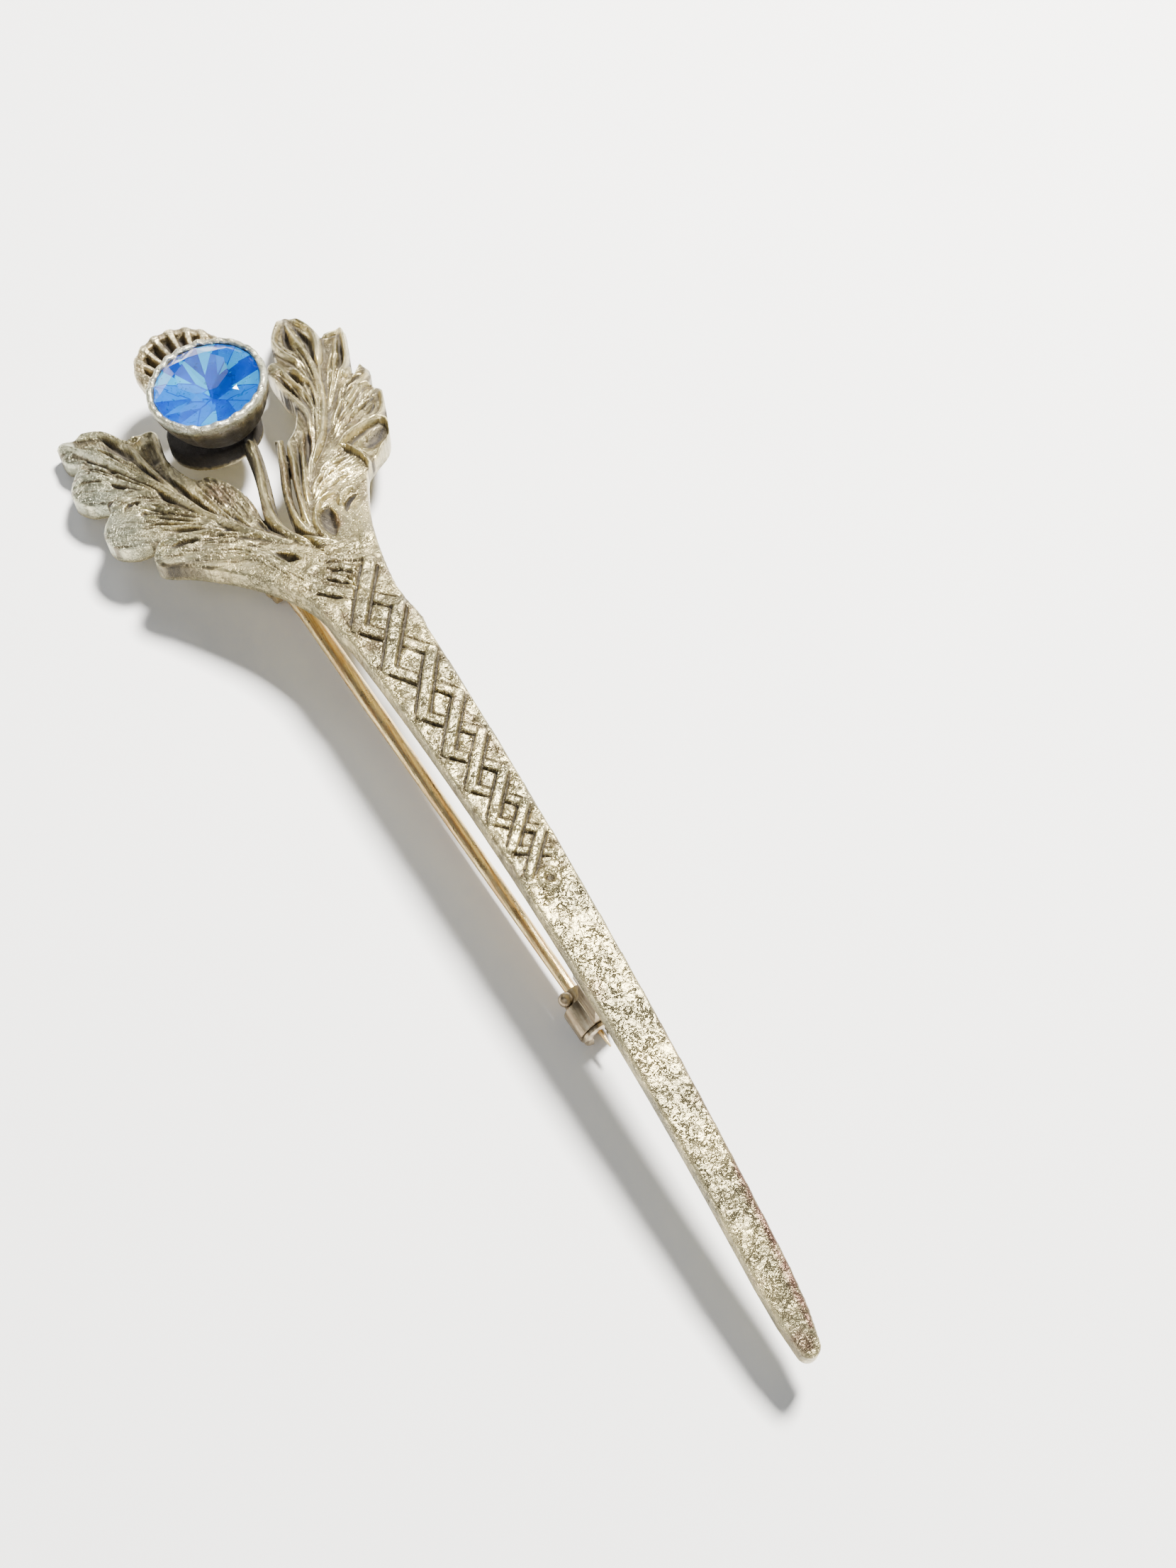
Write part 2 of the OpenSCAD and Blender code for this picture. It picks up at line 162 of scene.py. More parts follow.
def softened(field_: Array, mask: Array, cells: int) -> Array:
    """Averages a grid over a square window, inside a mask.

    Args:
        field_: The grid of values.
        mask: Which cells count.
        cells: Half the window's width, in cells.

    Returns:
        The averaged grid.
    """

    def window(a: Array, axis: int) -> Array:
        pad = [(cells + 1, cells) if k == axis else (0, 0) for k in range(2)]
        total = np.cumsum(np.pad(a, pad), axis=axis)
        high = np.take(total, range(2 * cells + 1, total.shape[axis]), axis=axis)
        low = np.take(total, range(0, total.shape[axis] - 2 * cells - 1), axis=axis)
        return high - low

    weight = mask.astype(float)
    top, bottom = field_ * weight, weight
    for _ in range(2):
        for axis in (0, 1):
            top, bottom = window(top, axis), window(bottom, axis)
    return top / np.maximum(bottom, 1e-9)


# ---- Modelled relief ----


class Cut(Enum):
    """How a stroke meets the surface."""

    RIDGE = "ridge"
    GROOVE = "groove"
    SWELL = "swell"
    STAIN = "stain"


@dataclass(frozen=True)
class Stroke:
    """One pass of the modelling tool along a line in plan.

    Attributes:
        kind: What the pass leaves.
        line: A few points of its route.
        width: Half its width.
        height: Its height, or its depth for a groove.
        ends: Share of the length over which each end fades out.
    """

    kind: Cut
    line: Line
    width: float
    height: float
    ends: tuple[float, float] = (0.15, 0.15)


@dataclass(frozen=True)
class Fan:
    """Fine veins spread evenly between two guide lines.

    Attributes:
        first: The guide on one side.
        last: The guide on the other side, with as many points.
        count: How many veins there are.
        width: Half the width of a vein.
        height: How far a vein stands up.
    """

    first: Line
    last: Line
    count: int
    width: float = 0.11
    height: float = 0.19

    def strokes(self) -> list[Stroke]:
        """Returns the veins, each a little off its even place."""
        a, b = np.asarray(self.first, float), np.asarray(self.last, float)
        rng = np.random.default_rng(SEED + self.count)
        veins = []
        for i in range(2 * self.count - 1):
            share = (i / 2 + 0.5 + rng.uniform(-0.1, 0.1)) / self.count
            wander = rng.normal(0, 0.045, a.shape)
            line = [tuple(q) for q in a + (b - a) * share + wander]
            height = self.height * rng.uniform(0.45, 1.35)
            scored = i % 2 == 1
            fade = (rng.uniform(0.1, 0.5), rng.uniform(0.1, 0.4)) if scored else (0.25, 0.2)
            kind, width = (Cut.GROOVE, 0.7 * self.width) if scored else (Cut.RIDGE, self.width)
            veins.append(Stroke(kind, line, width, height, fade))
        return veins


@dataclass
class Relief:
    """Height of the modelled surface above the plain one, on a grid in plan.

    Attributes:
        x: X of the grid's places.
        y: Y of the grid's places.
    """

    x: Array
    y: Array
    raised: Array = field(init=False)
    sunk: Array = field(init=False)
    swell: Array = field(init=False)
    stain: Array = field(init=False)

    def __post_init__(self) -> None:
        """Starts with a plain surface."""
        for name in ("raised", "sunk", "swell", "stain"):
            setattr(self, name, np.zeros(self.x.shape))

    def near(self, line: Array, reach: float) -> tuple[slice, slice]:
        """Returns the part of the grid within reach of a line."""
        pitch = self.x[0, 1] - self.x[0, 0]
        low = np.floor((line.min(0) - reach - (self.x[0, 0], self.y[0, 0])) / pitch).astype(int)
        high = np.ceil((line.max(0) + reach - (self.x[0, 0], self.y[0, 0])) / pitch).astype(int) + 1
        low = np.maximum(low, 0)
        return slice(low[1], max(high[1], 0)), slice(low[0], max(high[0], 0))

    def apply(self, stroke: Stroke) -> None:
        """Adds one stroke to the relief."""
        line = through(stroke.line) if len(stroke.line) > 2 else np.asarray(stroke.line, float)
        part = self.near(line, stroke.width)
        x, y = self.x[part], self.y[part]
        if x.size == 0:
            return
        gap, along = away_from(x, y, line)
        cut = stroke.kind is Cut.GROOVE and min(stroke.ends) > 0
        ends = [max(e, 0.36) if cut else e for e in stroke.ends]
        fade = np.ones(x.shape)
        if ends[0] > 0:
            fade *= smooth_step(-0.02, ends[0], along)
        if ends[1] > 0:
            fade *= smooth_step(-0.02, ends[1], 1 - along)
        blunt = 0.12 if cut else 0.45
        reach = stroke.width * (blunt + (1 - blunt) * fade)
        across = np.clip(1 - gap / reach, 0, 1)
        if stroke.kind is Cut.RIDGE:
            height = 1.2 * stroke.height * fade * (1 - (1 - across) ** 2) ** 1.6
            self.raised[part] += height**3
        elif stroke.kind is Cut.GROOVE:
            self.sunk[part] += (stroke.height * fade * smooth_step(0, 0.8, across)) ** 3
        elif stroke.kind is Cut.SWELL:
            self.swell[part] += stroke.height * fade * smooth_step(0, 1, across)
        else:
            self.stain[part] = np.maximum(self.stain[part], stroke.height * smooth_step(0, 1, across))

    def height(self) -> Array:
        """Returns the relief's height over the grid."""
        return self.swell + 1.15 * np.cbrt(self.raised) - 1.1 * np.cbrt(self.sunk)


# ---- Meshes ----


def settle(vertices: Array) -> Array:
    """Moves points from the plan, in millimetres, into the frame, in metres."""
    moved = np.asarray(vertices, float) - (*CastingPlan.middle(), 0.0)
    return moved * MM


def new_piece(name: str, vertices: Array, faces: Sequence[Sequence[int]],
              smooth: bool = True) -> bpy.types.Object:
    """Makes a mesh object from points that are already in the frame.

    Args:
        name: The piece's name.
        vertices: Its points, in metres.
        faces: Its faces, as point numbers.
        smooth: Whether the faces shade smoothly.

    Returns:
        The new object.
    """
    mesh = bpy.data.meshes.new(name)
    mesh.from_pydata(np.asarray(vertices).tolist(), [], [list(map(int, f)) for f in faces])
    mesh.validate()
    mesh.shade_smooth() if smooth else mesh.shade_flat()
    piece = bpy.data.objects.new(name, mesh)
    bpy.context.scene.collection.objects.link(piece)
    return piece


def mark(piece: bpy.types.Object, name: str, values: Array) -> None:
    """Stores one number at each point of a piece, for its finish to read."""
    layer = piece.data.attributes.new(name, "FLOAT", "POINT")
    layer.data.foreach_set("value", np.asarray(values, np.float32))


@dataclass
class Sheet:
    """A closed plate of any outline, with a modelled top, built on an even grid in plan.

    Attributes:
        x: X of the grid's places.
        y: Y of the grid's places.
        edge: Distance of each place to the outline, below zero inside.
        top: Height of the top face.
        under: Height of the back face.
        marks: Named values over the grid, stored at the top face's points.
        rows: Bands of faces down the side wall.
    """

    x: Array
    y: Array
    edge: Array
    top: Array
    under: Array
    marks: dict[str, Array] = field(default_factory=dict)
    rows: int = 3

    def snapped(self) -> tuple[Array, Array, Array]:
        """Returns the grid's X and Y with the rim moved onto the outline, and which places are inside."""
        pitch = self.x[0, 1] - self.x[0, 0]
        slope_y, slope_x = np.gradient(self.edge, pitch)
        steep = np.maximum(np.hypot(slope_x, slope_y), 0.3)
        deep = self.edge < -0.4 * pitch
        pull = np.where(deep, 0, np.clip(self.edge, -pitch, 1.5 * pitch)) / steep**2
        return self.x - slope_x * pull, self.y - slope_y * pull, deep

    def build(self, name: str) -> bpy.types.Object:
        """Makes the plate.

        Args:
            name: The piece's name.

        Returns:
            The closed mesh, in the frame.
        """
        x, y, deep = self.snapped()
        columns = x.shape[1]
        corner = deep[:-1, :-1] | deep[1:, :-1] | deep[:-1, 1:] | deep[1:, 1:]
        rows_at, columns_at = np.nonzero(corner)
        first = rows_at * columns + columns_at
        quads = np.stack([first, first + 1, first + columns + 1, first + columns], 1)
        back = self.plain_back(corner)
        used = np.unique(quads)
        number = np.full(x.size, -1)
        number[used] = np.arange(len(used))
        quads = number[quads]
        count = len(used)
        flat = np.stack([x.ravel()[used], y.ravel()[used]], 1)
        top = np.column_stack([flat, self.top.ravel()[used]])
        under = np.column_stack([flat, self.under.ravel()[used]])
        edges = np.vstack([quads[:, [i, (i + 1) % 4]] for i in range(4)])
        keys = {(int(a), int(b)) for a, b in edges}
        rim = [(a, b) for a, b in keys if (b, a) not in keys]
        rim_points = sorted({a for a, _ in rim} | {b for _, b in rim})
        slot = {p: i for i, p in enumerate(rim_points)}
        points = [top, under]
        for row in range(1, self.rows):
            share = row / self.rows
            points.append(top[rim_points] * (1 - share) + under[rim_points] * share)

        def level(point: int, row: int) -> int:
            if row == 0:
                return point
            if row == self.rows:
                return point + count
            return 2 * count + (row - 1) * len(rim_points) + slot[point]

        walls = [
            (level(b, row), level(a, row), level(a, row + 1), level(b, row + 1))
            for a, b in rim
            for row in range(self.rows)
        ]
        faces = quads.tolist() + [[number[v] + count for v in f[::-1]] for f in back] + walls
        piece = new_piece(name, settle(np.vstack(points)), faces)
        rest = len(points) - 2
        for key, values in self.marks.items():
            own = values.ravel()[used]
            plain = own if key in ("across", "along") else np.zeros(count)
            sides = own[rim_points]
            mark(piece, key, np.concatenate([own, plain] + [sides] * rest))
        clean = bmesh.new()
        clean.from_mesh(piece.data)
        bmesh.ops.delete(clean, geom=[v for v in clean.verts if not v.link_faces], context="VERTS")
        clean.to_mesh(piece.data)
        clean.free()
        return piece

    @staticmethod
    def plain_back(kept: Array) -> list[list[int]]:
        """Returns the back's faces, four cells joined to one wherever all four are kept.

        Args:
            kept: Which cells of the grid are in the plate.

        Returns:
            The faces, as numbers of the grid's places.
        """
        rows, columns = (n // 2 * 2 for n in kept.shape)
        wide = kept.shape[1] + 1
        whole = np.ones((rows // 2, columns // 2), bool)
        for a in (0, 1):
            for b in (0, 1):
                whole &= kept[a:rows:2, b:columns:2]
        border = np.pad(whole, 1)
        faces = []
        for r, c in zip(*np.nonzero(whole)):
            low = 2 * r * wide + 2 * c
            high = low + 2 * wide
            ring = [low, low + 1, low + 2, low + wide + 2, high + 2, high + 1, high, low + wide]
            joined = (border[r, c + 1], border[r + 1, c + 2], border[r + 2, c + 1], border[r + 1, c])
            faces.append([v for i, v in enumerate(ring) if i % 2 == 0 or not joined[i // 2]])
        single = kept.copy()
        single[:rows, :columns] &= ~np.kron(whole, np.ones((2, 2), bool))
        for r, c in zip(*np.nonzero(single)):
            first = r * wide + c
            faces.append([first, first + 1, first + wide + 1, first + wide])
        return faces


# ---- Finishes ----


class Bench:
    """Lays out the shader of one finish, in the object's own millimetres."""

    def __init__(self, name: str) -> None:
        """Starts an empty shader with its texture coordinates."""
        self.material = bpy.data.materials.new(name)
        self.material.use_nodes = True
        self.tree = self.material.node_tree
        self.tree.nodes.clear()
        self.shader = self.tree.nodes.new("ShaderNodeBsdfPrincipled")
        out = self.tree.nodes.new("ShaderNodeOutputMaterial")
        self.tree.links.new(self.shader.outputs[0], out.inputs[0])
        place = self.tree.nodes.new("ShaderNodeTexCoord")
        self.place = self.node("VectorMath", operation="SCALE", Vector=place.outputs["Object"],
                               Scale=1 / MM)

    def node(self, kind: str, **values: object) -> bpy.types.NodeSocket:
        """Adds a node and returns its first output.

        Args:
            kind: The node's type, without its prefix.
            values: Its settings, and its inputs by name or by number as i0, i1 and so on.

        Returns:
            The node's first output.
        """
        node = self.tree.nodes.new("ShaderNode" + kind)
        for key, value in values.items():
            if key in node.inputs:
                target = node.inputs[key]
            elif key[0] == "i" and key[1:].isdigit():
                target = node.inputs[int(key[1:])]
            else:
                setattr(node, key, value)
                continue
            self.feed(target, value)
        return node.outputs[0]

    def feed(self, target: bpy.types.NodeSocket, value: object) -> None:
        """Links or sets one input."""
        if isinstance(value, bpy.types.NodeSocket):
            self.tree.links.new(value, target)
        else:
            target.default_value = value

    def noise(self, scale: float, detail: float = 4, rough: float = 0.55,
              warp: float = 0.0) -> bpy.types.NodeSocket:
        """Returns noise with about scale features a millimetre."""
        return self.node("TexNoise", Vector=self.place, Scale=scale, Detail=detail, Roughness=rough,
                         Distortion=warp)

    def stretched(self, across: float, along: float, detail: float = 4) -> bpy.types.NodeSocket:
        """Returns noise drawn out along Y."""
        drawn = self.node("Mapping", Vector=self.place, Scale=(across, along, across))
        return self.node("TexNoise", Vector=drawn, Scale=1.0, Detail=detail, Roughness=0.6)

    def noise_along(self, across: str, along: str, fine: float, long: float) -> bpy.types.NodeSocket:
        """Returns noise drawn out along the lines that two marks lay over a piece."""
        place = self.node("CombineXYZ", X=self.mark(across), Y=self.mark(along), Z=0.0)
        drawn = self.node("Mapping", Vector=place, Scale=(fine, long, 1.0))
        return self.node("TexNoise", Vector=drawn, Scale=1.0, Detail=3.0, Roughness=0.6)

    def cells(self, scale: float, feature: str = "F1") -> bpy.types.NodeSocket:
        """Returns the distance to cell points, or to cell edges, with scale cells a millimetre."""
        bent = self.node("VectorMath", operation="ADD", i0=self.place, i1=self.node_colour(scale))
        return self.node("TexVoronoi", feature=feature, Vector=bent, Scale=scale)

    def wrinkles(self, scale: float, width: float) -> bpy.types.NodeSocket:
        """Returns thin wandering lines, 1 on a line and 0 off it."""
        folds = self.math("ABSOLUTE", self.math("SUBTRACT", self.noise(scale, 2.5, 0.6, 0.9), 0.5))
        return self.ramp(folds, 0.0, width, (1, 0))

    def node_colour(self, scale: float) -> bpy.types.NodeSocket:
        """Returns a small vector of noise that bends other patterns."""
        node = self.tree.nodes.new("ShaderNodeTexNoise")
        node.inputs["Scale"].default_value = scale * 1.7
        self.feed(node.inputs["Vector"], self.place)
        return self.node("VectorMath", operation="SCALE", Vector=node.outputs["Color"], Scale=0.5 / scale)

    def math(self, operation: str, a: object, b: object = 0.5, clamp: bool = False) -> bpy.types.NodeSocket:
        """Returns one sum of two values."""
        return self.node("Math", operation=operation, use_clamp=clamp, i0=a, i1=b)

    def ramp(self, value: bpy.types.NodeSocket, low: float, high: float,
             to: Point = (0, 1)) -> bpy.types.NodeSocket:
        """Maps a value from a range onto another, smoothly and clamped."""
        return self.node("MapRange", interpolation_type="SMOOTHSTEP", Value=value,
                         i1=low, i2=high, i3=to[0], i4=to[1])

    def mix(self, share: object, a: object, b: object) -> bpy.types.NodeSocket:
        """Mixes two colours."""
        node = self.tree.nodes.new("ShaderNodeMix")
        node.data_type = "RGBA"
        for target, value in ((node.inputs[0], share), (node.inputs[6], a), (node.inputs[7], b)):
            self.feed(target, (*value, 1) if isinstance(value, tuple) and len(value) == 3 else value)
        return node.outputs[2]

    def mark(self, name: str) -> bpy.types.NodeSocket:
        """Returns a value stored at the piece's points."""
        node = self.tree.nodes.new("ShaderNodeAttribute")
        node.attribute_name = name
        return node.outputs["Fac"]

    def bump(self, height: bpy.types.NodeSocket, depth: float,
             under: bpy.types.NodeSocket | None = None) -> bpy.types.NodeSocket:
        """Returns a normal bent by a height, depth millimetres deep."""
        node = self.tree.nodes.new("ShaderNodeBump")
        node.inputs["Strength"].default_value = 1.0
        node.inputs["Distance"].default_value = depth * MM
        self.feed(node.inputs["Height"], height)
        if under is not None:
            self.feed(node.inputs["Normal"], under)
        return node.outputs[0]

    def set(self, **values: object) -> None:
        """Sets the shader's inputs, with underscores for the spaces in their names."""
        for key, value in values.items():
            value = (*value, 1) if isinstance(value, tuple) and len(value) == 3 else value
            self.feed(self.shader.inputs[key.replace("_", " ")], value)


@dataclass(frozen=True)
class Pewter:
    """Cast tin alloy, darkened and rubbed back, with fine cracks, pits and brown wear, and painted
    highlights on its ridges, painted shade and painted greenish light where a piece marks them.

    Attributes:
        name: The material's name.
        bright: Colour of the rubbed metal.
        dull: Colour of the duller patches.
        rubbed: Colour of the ridges, rubbed brightest, also a painted highlight on ridges and vein crests.
        dark: Colour of the patina in the deepest hollows, and of the deepest painted shade.
        umber: Colour of the thinner patina round them, and of the lighter painted shade.
        brown: Colour of the brown stains.
        cool_light: Colour of the painted greenish light on the left leaf.
        rough: Roughness of the rubbed metal.
        crack: Depth of the cracks.
        marked: Whether the piece carries marks for its recesses and painted shade, its stains, its veins
            and its painted greenish light.
    """

    name: str
    bright: Colour = (0.66, 0.56, 0.29)
    dull: Colour = (0.34, 0.30, 0.17)
    rubbed: Colour = (0.92, 0.83, 0.54)
    dark: Colour = (0.028, 0.024, 0.020)
    umber: Colour = (0.13, 0.105, 0.06)
    brown: Colour = (0.17, 0.10, 0.07)
    cool_light: Colour = (0.42, 0.46, 0.36)
    rough: float = 0.26
    crack: float = 0.09
    marked: bool = True

    def material(self) -> bpy.types.Material:
        """Returns the finish as a material."""
        b = Bench(self.name)
        patches = b.ramp(b.noise(0.45, 5), 0.38, 0.66)
        speckle = b.ramp(b.noise(5.0, 6, 0.7), 0.36, 0.68)
        lines = b.math("MAXIMUM", b.wrinkles(1.7, 0.034), b.math("MULTIPLY", b.wrinkles(3.2, 0.040), 0.9))
        crack = b.math("MULTIPLY", lines, b.ramp(b.noise(1.3, 4, 0.65), 0.34, 0.56))
        if self.marked:
            crack = b.math("MULTIPLY", crack, b.ramp(b.mark("veined"), 0, 1, (1, 0.3)))
        pitted = b.ramp(b.noise(0.9, 3), 0.52, 0.68)
        pit = b.math("MULTIPLY", b.ramp(b.cells(2.6), 0.05, 0.24, (1, 0)), pitted)
        colour = b.mix(patches, self.dull, self.bright)
        colour = b.mix(b.math("MULTIPLY", speckle, 0.45), colour, tuple(0.62 * c for c in self.dull))
        veins = b.noise_along("across", "along", 4.4, 0.3)
        warm = b.math("MULTIPLY", b.ramp(b.noise(0.7, 6, 0.65), 0.56, 0.72), 0.5)
        colour = b.mix(warm, colour, self.brown)
        colour = b.mix(b.math("MULTIPLY", crack, 0.55), colour, self.umber)
        dents = b.math("MAXIMUM", b.math("MULTIPLY", crack, 0.3), b.math("MULTIPLY", pit, 0.75))
        patina_and_shade = dents
        if self.marked:
            # Painted greenish light where the piece marks it.
            colour = b.mix(b.math("MULTIPLY", b.mark("cool_light"), 0.8), colour, self.cool_light)
            patchy = b.ramp(b.noise(2.2, 5), 0.3, 0.55, (0.35, 1))
            stain = b.math("MULTIPLY", b.mark("stain"), patchy, clamp=True)
            colour = b.mix(stain, colour, self.brown)
            breakup = b.math("MULTIPLY_ADD", b.noise(3.2, 5, 0.65), 0.36)
            breakup.node.inputs[2].default_value = -0.2
            scored = b.math("MULTIPLY", b.mark("veined"), b.ramp(veins, 0.38, 0.48, (0.26, 0)))
            recess_and_shade = b.math("ADD", b.math("ADD", b.mark("recess_and_shade"), breakup), scored)
            colour = b.mix(b.ramp(recess_and_shade, 0.06, 0.42, (0, 0.9)), colour, self.umber)
            # Ridge tops and vein crests take the rubbed colour: partly rubbed-back wear, partly a painted
            # highlight.
            rub_and_highlight = b.math("MAXIMUM", b.ramp(b.mark("recess_and_shade"), -0.26, -0.02, (0.95, 0)),
                         b.math("MULTIPLY", b.mark("veined"), b.ramp(veins, 0.55, 0.63, (0, 0.3))))
            rub_and_highlight = b.math("MULTIPLY", rub_and_highlight, b.ramp(b.noise(2.4, 5, 0.65), 0.34, 0.56, (0.25, 1)))
            colour = b.mix(rub_and_highlight, colour, self.rubbed)
            # Darkest colour from the recess mark: patina in the casting's recesses and the tuft's grooves,
            # painted shade on the cup's wall and round its foot.
            patina_and_shade = b.math("MAXIMUM", dents, b.ramp(recess_and_shade, 0.3, 1.1))
        colour = b.mix(patina_and_shade, colour, self.dark)
        fine = b.noise(7.0, 5, 0.7)
        low = b.math("ADD", b.noise(1.9, 4), b.math("MULTIPLY", fine, 0.28))
        lumpy = b.math("MULTIPLY", low, b.ramp(b.mark("veined"), 0, 1, (1, 0.3)) if self.marked else 1.0)
        normal = b.bump(lumpy, 0.10)
        if self.marked:
            normal = b.bump(b.math("MULTIPLY", b.mark("veined"), veins), 0.05, normal)
        normal = b.bump(b.math("SUBTRACT", 1.0, b.math("MAXIMUM", crack, pit)), self.crack, normal)
        rough = b.math("ADD", b.ramp(patina_and_shade, 0, 1, (self.rough, 0.7)), b.math("MULTIPLY", fine, 0.10))
        b.set(Base_Color=colour, Normal=normal, Specular_IOR_Level=0.25,
              Metallic=b.ramp(patina_and_shade, 0.2, 0.9, (0.95, 0.1)), Roughness=rough)
        return b.material


@dataclass(frozen=True)
class Wire:
    """Drawn or turned metal with streaks along it.

    Attributes:
        name: The material's name.
        colour: Colour of the clean metal.
        worn: Colour of the worn or tarnished streaks.
        dark: Colour of the dirt in its scratches.
        rough: Roughness of the clean metal.
        streaks: Streaks a millimetre across.
    """

    name: str
    colour: Colour
    worn: Colour
    dark: Colour
    rough: float = 0.3
    streaks: float = 5.0

    def material(self) -> bpy.types.Material:
        """Returns the finish as a material."""
        b = Bench(self.name)
        streak = b.stretched(self.streaks, 0.22)
        blotch = b.noise(0.9, 5, 0.6)
        colour = b.mix(b.ramp(streak, 0.4, 0.64), self.colour, self.worn)
        colour = b.mix(b.math("MULTIPLY", b.ramp(blotch, 0.52, 0.7), 0.7), colour, self.worn)
        dirt = b.ramp(b.noise(3.5, 6, 0.7), 0.58, 0.74)
        colour = b.mix(b.math("MULTIPLY", dirt, 0.8), colour, self.dark)
        normal = b.bump(b.math("ADD", streak, b.math("MULTIPLY", b.noise(6.0, 4), 0.4)), 0.03)
        patchy = b.ramp(blotch, 0.3, 0.7, (self.rough, self.rough + 0.15))
        b.set(Base_Color=colour, Normal=normal, Metallic=b.ramp(dirt, 0, 1, (1.0, 0.6)),
              Roughness=b.math("ADD", b.math("MULTIPLY", dirt, 0.25), patchy))
        return b.material


@dataclass(frozen=True)
class Glass:
    """Blue cut glass.

    Attributes:
        name: The material's name.
        colour: Tint of the light that passes.
    """

    name: str
    colour: Colour = (0.22, 0.74, 1.0)

    def material(self) -> bpy.types.Material:
        """Returns the finish as a material."""
        b = Bench(self.name)
        haze = b.ramp(b.noise(0.8, 5), 0.4, 0.75, (0.0, 0.02))
        tint = b.mix(b.ramp(b.noise(0.25, 2), 0.35, 0.65), self.colour, tuple(0.9 * c for c in self.colour))
        b.set(Base_Color=tint, Roughness=haze, Transmission_Weight=1.0, IOR=1.34)
        return b.material


@dataclass(frozen=True)
class Foil:
    """Blue lacquered foil pressed into the facets behind the stone, showing painted light and shade facet
    by facet where a piece marks its facets.

    Attributes:
        name: The material's name.
        colour: Colour of the lacquer.
        deep: Its colour on the darkest back facets and in the creases, painted shade.
        glint_blue: Its colour on the brightest back facets, a painted glint.
    """

    name: str
    colour: Colour = (0.0, 0.32, 0.86)
    deep: Colour = (0.0, 0.09, 0.50)
    glint_blue: Colour = (0.03, 0.74, 1.0)

    def material(self) -> bpy.types.Material:
        """Returns the finish as a material."""
        b = Bench(self.name)
        # Each back facet's tone picks its colour: painted light and shade facet by facet, the brightest a
        # painted glint.
        tone = b.mark("tone")
        colour = b.mix(b.ramp(tone, 0.3, 0.45), self.deep, self.colour)
        colour = b.mix(b.ramp(tone, 0.72, 0.85), colour, self.glint_blue)
        colour = b.mix(b.ramp(b.noise(0.9, 3), 0.45, 0.7, (0, 0.3)), colour, self.colour)
        b.set(Base_Color=colour, Metallic=0.6, Specular_IOR_Level=0.0,
              Roughness=b.ramp(b.noise(3.0, 4), 0.3, 0.7, (0.26, 0.4)),
              Normal=b.bump(b.noise(2.0, 3), 0.01))
        return b.material


# ---- The casting ----


